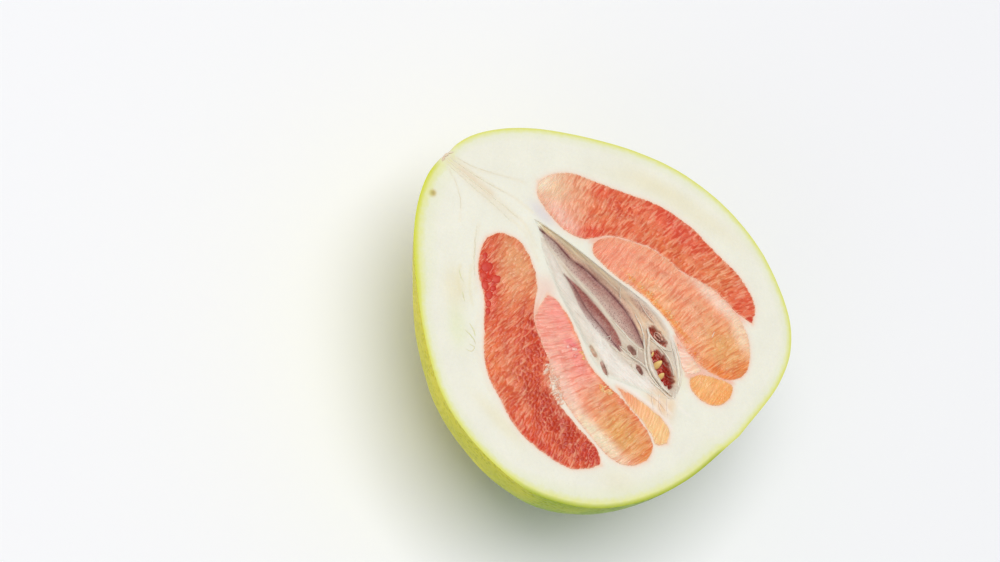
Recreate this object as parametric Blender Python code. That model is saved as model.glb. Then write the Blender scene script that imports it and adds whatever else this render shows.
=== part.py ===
"""Half a pomelo, cut lengthwise through the stem, lying on its round back.

The cut face is level and looks up (+Z). The stem end is at -X and the blossom end at +X.
"Near" pieces are on the -Y side of the open core and "far" pieces on the +Y side.
Outlines on the cut face are rails: each piece lies between an outer and an inner rail, which
share their two tips. Rails are in millimetres, and the model itself is in metres.
"""
import bisect
import math

import bmesh
import bpy
from mathutils import Matrix, Vector

MM = 0.001

# Driving dimensions, in millimetres.
FRUIT_RADIUS = 77.0
FLAT_SPOT_DEPTH = 1.0
CUT_HEIGHT = FRUIT_RADIUS - FLAT_SPOT_DEPTH
STEM_UNDERCUT = 0.45
STEM_UNDERCUT_START = -25.0
BLOSSOM_SHIFT = 9.0
BLOSSOM_SHIFT_START = 40.0
BLOSSOM_END = 82.0
FIT_GAP = 0.45
CUTTER_RISE = 3.0

PROFILE_STEPS = 30
TURN_STEPS = 30

# Half of the cut outline as distance along the fruit and radius, from the stem scar's floor
# round to the middle of the blossom end.
STEM_SCAR = [(-80.6, 0.0), (-80.9, 2.6), (-82.0, 4.6)]
HALF_OUTLINE = [(-82.0, 4.6), (-80.6, 13.0), (-75.0, 24.5), (-66.0, 36.0), (-50.0, 50.2),
                (-30.0, 64.0), (-10.0, 73.0), (15.0, 77.0), (40.0, 73.7), (60.0, 63.0),
                (72.0, 49.0), (79.0, 30.5), (82.0, 0.0)]

# Juice sacs as relief on the cut pulp.
SAC_WIDTH = 3.6
SAC_LENGTH = 7.0
SAC_HEIGHT = 0.75
PULP_REST = -0.25

# Belly rings of a piece: how far each ring has closed in on the spine, and its share of depth.
BELLY_RINGS = [(0.10, 0.55), (0.48, 1.0)]
SPINE_SHARE = 0.82
FEWEST_COLUMNS = 16

PULPS = {
    "pulp_outer_near": dict(
        depth=20.0, rows=7, colour=(0.72, 0.16, 0.09),
        outer=[(-46, -13), (-44, -18.5), (-38, -26), (-29, -31.8), (-21, -40), (-12, -49),
               (-5, -53.5), (3, -56), (10, -58.3), (20, -59.8), (33, -58.2), (43, -54.5),
               (47.5, -49.5), (50.5, -44.5)],
        inner=[(-46, -13), (-43.5, -7.5), (-36, -4), (-25, -7), (-18, -12), (-13.5, -18.5),
               (-9.8, -23.5), (-5, -26), (2, -29.2), (8, -31.9), (13, -36.6), (20, -39.6),
               (32, -41), (45, -41.6), (50.5, -44.5)]),
    "pulp_inner_near": dict(
        depth=16.0, rows=6, colour=(0.85, 0.34, 0.25),
        outer=[(-13, -10.5), (-12, -14), (-10.3, -19), (-7.6, -22.6), (-2, -25.6), (4, -28.2),
               (9, -30.6), (15, -33.8), (24, -37), (40, -38.7), (52, -38.9), (59, -35),
               (62.3, -28.5)],
        inner=[(-13, -10.5), (-8, -9.8), (0, -11.2), (8, -14.2), (15, -17.5), (22, -19),
               (30, -19), (38, -18.5), (46, -18.8), (54, -20), (60, -23), (62.3, -28.5)]),
    "pulp_tip_near": dict(
        depth=7.0, rows=3, colour=(0.88, 0.50, 0.25),
        outer=[(33, -16.2), (40, -16.7), (48, -17), (56, -18.2), (60.5, -19.8), (63.2, -17)],
        inner=[(33, -16.2), (38, -14.3), (46, -12.6), (54, -11.6), (60, -12.6), (63.2, -17)]),
    "pulp_outer_far": dict(
        depth=20.0, rows=7, colour=(0.74, 0.19, 0.11),
        outer=[(-48.5, 21), (-47, 27), (-42, 34), (-32, 40), (-20, 46.8), (-10, 52.8), (0, 56.2),
               (10, 58), (25, 58.3), (35, 58.7), (44, 57), (50, 54), (54, 48.3)],
        inner=[(-48.5, 21), (-45, 17), (-35, 14.8), (-26, 15.3), (-20, 18), (-16, 23),
               (-13.5, 28), (-9.5, 31.4), (-4, 35.1), (2, 38.7), (10, 40.7), (18, 41.5),
               (24, 44), (34, 47), (46, 47.4), (54, 48.3)]),
    "pulp_inner_far": dict(
        depth=16.0, rows=7, colour=(0.82, 0.36, 0.20),
        outer=[(-15, 20), (-13.8, 24), (-11.5, 27.3), (-7.5, 30.3), (-2, 34.1), (4, 37.3),
               (11, 39), (18, 39.8), (24, 42.1), (32, 44.9), (46, 45.2), (55, 43), (62, 37.5),
               (65.5, 32), (66, 27.5)],
        inner=[(-15, 20), (-12.5, 17.5), (-6, 17), (2, 18), (10, 20), (20, 21.3), (30, 20.9),
               (38, 19), (46, 17.9), (52, 18), (58, 20), (63, 22.8), (66, 27.5)]),
    "pulp_tip_far": dict(
        depth=8.0, rows=4, colour=(0.88, 0.46, 0.19),
        outer=[(51, 10.5), (54, 14.6), (58.5, 17.4), (62.5, 19.8), (66, 20.9), (68.6, 17.5)],
        inner=[(51, 10.5), (54, 8.2), (59, 7.3), (64, 8.7), (67.8, 12.8), (68.6, 17.5)]),
    "pulp_core_far": dict(
        depth=4.5, rows=2, colour=(0.88, 0.52, 0.38),
        outer=[(36.8, 17.1), (43, 16.4), (48, 15.9), (53, 16)],
        inner=[(36.8, 17.1), (41, 14.8), (45, 12.8), (49, 12), (53, 16)]),
}

# The open core: a boat of torn membranes. Its folds are a section across it, from the near rim
# to the far rim, as share of the width and share of the full depth.
CORE_NEAR_RIM = [(-38.5, 8), (-34, 6.3), (-27, 1.3), (-20, -2.2), (-10, -6.2), (0, -9.2),
                 (10, -12.6), (18, -15.4), (26, -16.2), (32, -13.6), (40, -9.5), (47, -6),
                 (53, -1)]
CORE_FAR_RIM = [(-38.5, 8), (-30, 10.4), (-20, 12.6), (-10, 14.4), (0, 16), (10, 18),
                (20, 19.4), (30, 18.7), (37.5, 15.1), (44, 10), (49.5, 4), (53, -1)]
CORE_FOLDS = [(0.0, 0.0), (0.10, 0.10), (0.20, 0.22), (0.30, 0.42), (0.38, 0.74), (0.43, 0.88),
              (0.48, 0.72), (0.56, 0.48), (0.66, 0.55), (0.78, 0.74), (0.88, 0.96),
              (0.92, 1.0), (0.96, 0.64), (1.0, 0.0)]
CORE_HOLLOW_DEPTH = 9.4
CORE_BELLY_DEPTH = 21.0
CORE_COLUMNS = 40
CORE_ROWS = 14
CORE_REST = -0.2

# Torn openings in the membranes: middle, half lengths, turn about Z in degrees.
OPENINGS = {
    "opening_large": ((41.0, 5.8, -4.0), (9.8, 3.2, 9.5), -24.0),
    "opening_small": ((30.5, 14.8, -4.0), (4.8, 1.7, 6.5), -8.0),
}

# Aborted seeds in the large opening: middle, length, width, turn and rise in degrees.
SEEDS = {
    "seed_1": ((38.7, 6.2, -5.2), 5.0, 2.3, 78.0, 40.0),
    "seed_2": ((43.0, 4.4, -5.4), 4.2, 2.0, 96.0, 42.0),
    "seed_3": ((35.6, 8.1, -5.4), 3.2, 1.5, 60.0, 30.0),
}

SKIN_COLOUR = (0.52, 0.55, 0.05)
PITH_COLOUR = (0.86, 0.87, 0.74)
CORE_COLOUR = (0.62, 0.47, 0.44)
SEED_COLOUR = (0.70, 0.45, 0.10)


def clear_scene():
    for item in list(bpy.data.objects):
        bpy.data.objects.remove(item, do_unlink=True)


def new_collection(name):
    collection = bpy.data.collections.new(name)
    bpy.context.scene.collection.children.link(collection)
    return collection


def material(name, colour, roughness):
    made = bpy.data.materials.new(name)
    made.use_nodes = True
    shader = made.node_tree.nodes["Principled BSDF"]
    shader.inputs["Base Color"].default_value = (*colour, 1.0)
    shader.inputs["Roughness"].default_value = roughness
    shader.inputs["Metallic"].default_value = 0.0
    return made


def smooth_points(points, steps_between=12):
    """Points of a smooth curve (centripetal Catmull-Rom) through the given points."""
    given = [Vector(point) for point in points]
    ends = [given[0] * 2 - given[1]] + given + [given[-1] * 2 - given[-2]]
    knots = [0.0]
    for before, after in zip(ends, ends[1:]):
        knots.append(knots[-1] + math.sqrt((after - before).length))
    curve = []
    for i in range(1, len(ends) - 2):
        t0, t1, t2, t3 = knots[i - 1:i + 3]
        p0, p1, p2, p3 = ends[i - 1:i + 3]
        for step in range(steps_between):
            t = t1 + (t2 - t1) * step / steps_between
            a1 = p0.lerp(p1, (t - t0) / (t1 - t0))
            a2 = p1.lerp(p2, (t - t1) / (t2 - t1))
            a3 = p2.lerp(p3, (t - t2) / (t3 - t2))
            b1 = a1.lerp(a2, (t - t0) / (t2 - t0))
            b2 = a2.lerp(a3, (t - t1) / (t3 - t1))
            curve.append(b1.lerp(b2, (t - t1) / (t2 - t1)))
    curve.append(given[-1])
    return curve


class Rail:
    """A smooth line on the cut face that is read by its share of length, from 0 to 1."""

    def __init__(self, points):
        self.curve = smooth_points(points)
        self.lengths = [0.0]
        for before, after in zip(self.curve, self.curve[1:]):
            self.lengths.append(self.lengths[-1] + (after - before).length)

    def at(self, share):
        wanted = min(max(share, 0.0), 1.0) * self.lengths[-1]
        i = min(max(bisect.bisect_right(self.lengths, wanted), 1), len(self.curve) - 1)
        span = self.lengths[i] - self.lengths[i - 1]
        return self.curve[i - 1].lerp(self.curve[i], (wanted - self.lengths[i - 1]) / span)


def spread(share):
    """Columns stand closer together towards both tips."""
    return 0.5 * (share + 0.5 - 0.5 * math.cos(math.pi * share))


def rail_body(outer, inner, columns, rows, top, rings):
    """Closed body between two rails: its upper face follows top(u, v), its rings go down."""
    def place(u, v):
        return outer.at(u).lerp(inner.at(u), v)

    def spine(u):
        return place(0.5 + (u - 0.5) * SPINE_SHARE, 0.5)

    body = bmesh.new()
    bmesh.ops.create_grid(body, x_segments=columns, y_segments=rows, size=0.5)
    shares = {}
    for vert in body.verts:
        u, v = spread(vert.co.x + 0.5), vert.co.y + 0.5
        shares[vert] = (u, v)
        vert.co = (*place(u, v), top(u, v))
    ring = [edge for edge in body.edges if edge.is_boundary]
    for closed, level in rings:
        made = bmesh.ops.extrude_edge_only(body, edges=ring)["geom"]
        ring = [item for item in made if isinstance(item, bmesh.types.BMEdge)]
        below = {}
        for vert in [item for item in made if isinstance(item, bmesh.types.BMVert)]:
            source = next(edge.other_vert(vert) for edge in vert.link_edges
                          if edge.other_vert(vert) in shares)
            u, v = shares[source]
            vert.co = (*place(u, v).lerp(spine(u), closed), level)
            below[vert] = (u, v)
        shares.update(below)
    bmesh.ops.remove_doubles(body, verts=body.verts[:], dist=0.01)
    open_edges = [edge for edge in body.edges if edge.is_boundary]
    bmesh.ops.contextual_create(body, geom=open_edges)
    bmesh.ops.recalc_face_normals(body, faces=body.faces[:])
    sides = [face for face in body.faces if len(face.verts) == 4]
    bmesh.ops.triangulate(body, faces=sides, quad_method="FIXED")
    return body


def belly(depth):
    return [(closed, -depth * share) for closed, share in BELLY_RINGS]


def pocket_body(outer, inner, columns, depth):
    """What a piece's pocket takes out of the peel: the piece's belly, with a straight neck."""
    return rail_body(outer, inner, columns, 1, lambda u, v: CUTTER_RISE,
                     [(0.0, PULP_REST)] + belly(depth))


def add_object(name, body, collection, materials):
    """Turns a body in millimetres, measured from the cut face, into an object in metres."""
    bmesh.ops.scale(body, vec=(MM, MM, MM), verts=body.verts[:])
    mesh = bpy.data.meshes.new(name)
    body.to_mesh(mesh)
    body.free()
    for item in materials:
        mesh.materials.append(item)
    made = bpy.data.objects.new(name, mesh)
    made.location.z = CUT_HEIGHT * MM
    collection.objects.link(made)
    return made


def make_cutter(name, body, collection, materials, swell):
    """An object that only cuts: it is swollen by the gap that the pieces keep."""
    cutter = add_object(name, body, collection, materials)
    for face in cutter.data.polygons:
        face.material_index = len(materials) - 1
    if swell:
        grow = cutter.modifiers.new("gap", "DISPLACE")
        grow.mid_level = 0.0
        grow.strength = swell * MM
    cutter.hide_render = True
    cutter.display_type = "WIRE"
    return cutter


def cut(target, cutter):
    boolean = target.modifiers.new("cut_" + cutter.name, "BOOLEAN")
    boolean.operation = "DIFFERENCE"
    boolean.solver = "EXACT"
    boolean.object = cutter


def peel_body():
    """The half fruit as one solid: a pear outline turned half a turn under the cut face."""
    outline = Rail(HALF_OUTLINE)
    points = [Vector(point) for point in STEM_SCAR[:-1]]
    points += [outline.at(step / PROFILE_STEPS) for step in range(PROFILE_STEPS + 1)]
    body = bmesh.new()
    verts = [body.verts.new((point.x, point.y, 0.0)) for point in points]
    edges = [body.edges.new(pair) for pair in zip(verts, verts[1:])]
    bmesh.ops.spin(body, geom=verts + edges, cent=(0, 0, 0), axis=(1, 0, 0),
                   angle=-math.pi, steps=TURN_STEPS)
    for vert in body.verts:
        x, y, z = vert.co
        past = max(x - BLOSSOM_SHIFT_START, 0.0) / (BLOSSOM_END - BLOSSOM_SHIFT_START)
        before = max(STEM_UNDERCUT_START - x, 0.0) / (STEM_UNDERCUT_START + BLOSSOM_END)
        vert.co = (x - STEM_UNDERCUT * before ** 2 * z, y + BLOSSOM_SHIFT * past ** 2, z)
    bmesh.ops.remove_doubles(body, verts=body.verts[:], dist=0.01)
    bmesh.ops.bisect_plane(body, geom=body.verts[:] + body.edges[:] + body.faces[:],
                           plane_co=(0, 0, -CUT_HEIGHT), plane_no=(0, 0, -1),
                           clear_outer=True)
    skin_faces = set(body.faces)
    for level in (-CUT_HEIGHT, 0.0):
        rim = [edge for edge in body.edges if edge.is_boundary
               and all(abs(vert.co.z - level) < 0.01 for vert in edge.verts)]
        bmesh.ops.contextual_create(body, geom=rim)
    bmesh.ops.recalc_face_normals(body, faces=body.faces[:])
    for face in body.faces:
        face.smooth = face in skin_faces
        if face not in skin_faces and face.calc_center_median().z > -1.0:
            face.material_index = 1
    return body


def sac_relief(outer, inner):
    """Height of the juice sacs, which run across the segment in staggered rows."""
    mean_length = 0.5 * (outer.lengths[-1] + inner.lengths[-1])

    def height(u, v):
        across = (outer.at(u) - inner.at(u)).length
        if v in (0.0, 1.0) or across < 1.0:
            return PULP_REST
        along = u * mean_length / SAC_WIDTH
        stagger = 0.5 * (round(along) % 2)
        ridge = abs(math.cos(math.pi * along))
        swelling = 0.65 + 0.35 * math.cos(2 * math.pi * (v * across / SAC_LENGTH + stagger))
        return PULP_REST + SAC_HEIGHT * ridge * swelling
    return height


def pulp(name, shape, parts, cutters, peel):
    """One cut segment of pulp, and the pocket that it lies in."""
    outer, inner = Rail(shape["outer"]), Rail(shape["inner"])
    mean_length = 0.5 * (outer.lengths[-1] + inner.lengths[-1])
    columns = 2 * round(mean_length / SAC_WIDTH)
    flesh = material(name + "_flesh", shape["colour"], 0.35)
    body = rail_body(outer, inner, columns, shape["rows"], sac_relief(outer, inner),
                     belly(shape["depth"]))
    add_object(name, body, parts, [flesh])
    pocket = pocket_body(outer, inner, max(columns // 2, FEWEST_COLUMNS), shape["depth"])
    cutter = make_cutter(name + "_pocket", pocket, cutters, list(peel.data.materials), FIT_GAP)
    cut(peel, cutter)


def core_folds(near, far):
    """Depth of the torn membranes below the cut face: two creases with a ridge between them."""
    section = Rail(CORE_FOLDS)

    def height(u, v):
        if v in (0.0, 1.0) or (near.at(u) - far.at(u)).length < 1.0:
            return CORE_REST
        lengthwise = math.sin(math.pi * u ** 0.85) ** 0.7
        i = bisect.bisect_left([point.x for point in section.curve], v)
        before, after = section.curve[i - 1], section.curve[i]
        fold = before.y + (after.y - before.y) * (v - before.x) / (after.x - before.x)
        return CORE_REST - CORE_HOLLOW_DEPTH * lengthwise * fold
    return height


def core_membrane(parts, cutters, peel):
    """The torn lining of the open core, with its openings."""
    near, far = Rail(CORE_NEAR_RIM), Rail(CORE_FAR_RIM)
    tissue = material("core_tissue", CORE_COLOUR, 0.6)
    body = rail_body(near, far, CORE_COLUMNS, CORE_ROWS, core_folds(near, far),
                     belly(CORE_BELLY_DEPTH))
    lining = add_object("core_membrane", body, parts, [tissue])
    pocket = pocket_body(near, far, CORE_COLUMNS, CORE_BELLY_DEPTH)
    cut(peel, make_cutter("core_pocket", pocket, cutters, list(peel.data.materials), FIT_GAP))
    for name, (middle, half, turn) in OPENINGS.items():
        hole = bmesh.new()
        bmesh.ops.create_uvsphere(hole, u_segments=16, v_segments=8, radius=1.0)
        place(hole, middle, half, turn, 0.0)
        cut(lining, make_cutter(name, hole, cutters, [tissue], 0.0))


def place(body, middle, half, turn, rise):
    """Scales a unit shape, lifts its +X end by rise, turns it about Z and moves it."""
    bmesh.ops.scale(body, vec=half, verts=body.verts[:])
    for angle, axis in ((-rise, "Y"), (turn, "Z")):
        matrix = rotation(angle, axis)
        bmesh.ops.rotate(body, cent=(0, 0, 0), matrix=matrix, verts=body.verts[:])
    bmesh.ops.translate(body, vec=middle, verts=body.verts[:])


def rotation(degrees, axis):
    return Matrix.Rotation(math.radians(degrees), 3, axis)


def seed(name, parts, tissue):
    """A small flat seed that never filled, drawn out to a point."""
    middle, length, width, turn, rise = SEEDS[name]
    body = bmesh.new()
    bmesh.ops.create_uvsphere(body, u_segments=8, v_segments=6, radius=1.0)
    bmesh.ops.rotate(body, cent=(0, 0, 0), matrix=rotation(90, "Y"), verts=body.verts[:])
    for vert in body.verts:
        taper = 1.0 - 0.45 * (vert.co.x + 1.0) / 2.0
        vert.co.y *= taper
        vert.co.z *= taper
    place(body, middle, (length / 2, width / 2, width / 3), turn, rise)
    made = add_object(name, body, parts, [tissue])
    made.data.shade_smooth()


def build():
    clear_scene()
    parts = new_collection("half_pomelo")
    cutters = new_collection("cutters")
    skin = material("pomelo_skin", SKIN_COLOUR, 0.4)
    pith = material("pomelo_pith", PITH_COLOUR, 0.75)
    peel = add_object("peel", peel_body(), parts, [skin, pith])
    for name, shape in PULPS.items():
        pulp(name, shape, parts, cutters, peel)
    core_membrane(parts, cutters, peel)
    seed_tissue = material("seed_coat", SEED_COLOUR, 0.5)
    for name in SEEDS:
        seed(name, parts, seed_tissue)


build()
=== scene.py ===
"""The look of half a pomelo, cut lengthwise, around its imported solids.

Lengths are in millimetres on the cut face: x from the stem end to the blossom end, y from the
near side to the far side, z up from the cut face. Finished meshes are in metres.
"""

import math

import bmesh
import bpy
import numpy as np
from mathutils import Matrix, Vector, noise
from mathutils.kdtree import KDTree


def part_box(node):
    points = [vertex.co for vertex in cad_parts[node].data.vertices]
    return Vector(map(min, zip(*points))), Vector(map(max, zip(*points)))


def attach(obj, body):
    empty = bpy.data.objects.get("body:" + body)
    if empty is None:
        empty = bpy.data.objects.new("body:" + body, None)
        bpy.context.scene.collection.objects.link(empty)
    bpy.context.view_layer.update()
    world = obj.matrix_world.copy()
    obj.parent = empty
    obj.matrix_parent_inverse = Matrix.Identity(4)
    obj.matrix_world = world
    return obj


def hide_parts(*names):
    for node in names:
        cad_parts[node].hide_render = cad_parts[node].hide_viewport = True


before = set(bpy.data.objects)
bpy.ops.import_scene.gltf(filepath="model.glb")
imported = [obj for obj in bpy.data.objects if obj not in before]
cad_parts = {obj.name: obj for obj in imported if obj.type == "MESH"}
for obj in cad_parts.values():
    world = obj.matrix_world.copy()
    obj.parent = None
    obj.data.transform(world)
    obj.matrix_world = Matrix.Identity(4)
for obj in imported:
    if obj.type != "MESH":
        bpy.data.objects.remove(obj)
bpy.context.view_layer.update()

MM = 0.001
CUT_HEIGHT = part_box("peel")[1].z
FLOOR = -CUT_HEIGHT / MM
# A place nearer to a level than this is on it.
ON_LEVEL = 0.01

# ---------------------------------------------------------------- sizes of the fruit

STEM_UNDERCUT = 0.45
STEM_UNDERCUT_START = -25.0
BLOSSOM_SHIFT = 9.0
BLOSSOM_SHIFT_START = 40.0
BLOSSOM_END = 82.0
HALF_OUTLINE = [
    (-81.6, 0.0), (-81.8, 2.6), (-82.0, 4.6), (-80.6, 13.0), (-75.0, 24.5), (-66.0, 36.0),
    (-50.0, 50.2), (-30.0, 64.0), (-10.0, 73.0), (15.0, 77.0), (40.0, 73.7), (60.0, 63.0),
    (72.0, 49.0), (79.0, 30.5), (82.0, 0.0)]

CORE_NEAR_RIM = [
    (-38.5, 8), (-34, 6.3), (-27, 1.3), (-20, -2.2), (-10, -6.2), (0, -9.2), (10, -12.6),
    (18, -15.4), (26, -16.2), (32, -13.6), (40, -9.5), (47, -6), (53, -1)]
CORE_FAR_RIM = [
    (-38.5, 8), (-30, 10.4), (-20, 12.6), (-10, 14.4), (0, 16), (10, 18), (20, 19.4), (30, 18.7),
    (37.5, 15.1), (44, 10), (49.5, 4), (53, -1)]
CORE_FOLDS = [
    (0.0, 0.0), (0.12, 0.05), (0.22, 0.14), (0.3, 0.34), (0.36, 0.58), (0.42, 0.62), (0.48, 0.44),
    (0.54, 0.36), (0.64, 0.48), (0.74, 0.76), (0.82, 1.0), (0.87, 0.88), (0.94, 0.4), (1.0, 0.0)]
CORE_HOLLOW_DEPTH = 5.6
CORE_BELLY_DEPTH = 21.0

# Below an edge a body closes in rings: share of the way to its spine, and share of its depth.
BELLY_RINGS = [(0.10, 0.55), (0.48, 1.0)]
SPINE_SHARE = 0.82

# ---------------------------------------------------------------- colours

PALETTE = {
    "pith": "edebdb", "pith_cream": "e8ddb4", "pith_lime": "dbe3a4", "pith_lilac": "cfc2d2",
    "pith_peach": "eec9a0", "pith_rose": "f0cdbd", "membrane": "f3c6a8", "septum": "f0b9a2",
    "trace": "ece3cb", "trace_tan": "e6d0ae", "fibre": "f2ead2", "fibre_tan": "ece0c2",
    "lime_fibre": "dfe2a4", "blemish": "86621c", "blemish_ring": "cba63e", "rim_pale": "e3e482",
    # The skin's darker green on the next line also paints shade, lower on the back and towards the
    # blossom end.
    "rim_lime": "cfd32a", "rim_green": "9fb014", "skin_yellow": "eee222", "skin_green_and_shade": "90b006",
    "scar": "cfa085", "nub": "e6cbb0", "tissue": "dccdb9", "tissue_wall": "ebc8a2",
    # The grey on the next line is drawn along folds of the lining as painted fold shadow.
    "tissue_shade": "b79f8e", "fold_shadow_grey": "c4b4a6", "tissue_tan": "e2c684", "cotton": "f7f0e6",
    # The plums and the deep mauve on the next two lines are also drawn along the core's creases as
    # painted crease shade; the plum is also the membranes' own speck colour.
    "mauve": "c2948a", "mauve_crease_shade": "976465", "mauve_near": "9a4438", "plum_specks_and_crease_shade": "6d2f35",
    "plum_crease_shade": "6f3838", "wound": "a81c0c", "wound_dark": "a84a38", "wound_light": "d4624c",
    "hole_brown": "8c483c", "hole_tan": "c6a98f", "seed": "f0cf80", "drop": "cc2610",
    "vesicle": "f1a484", "granule": "fa8c3c", "strand": "fadcc4",
}

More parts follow.
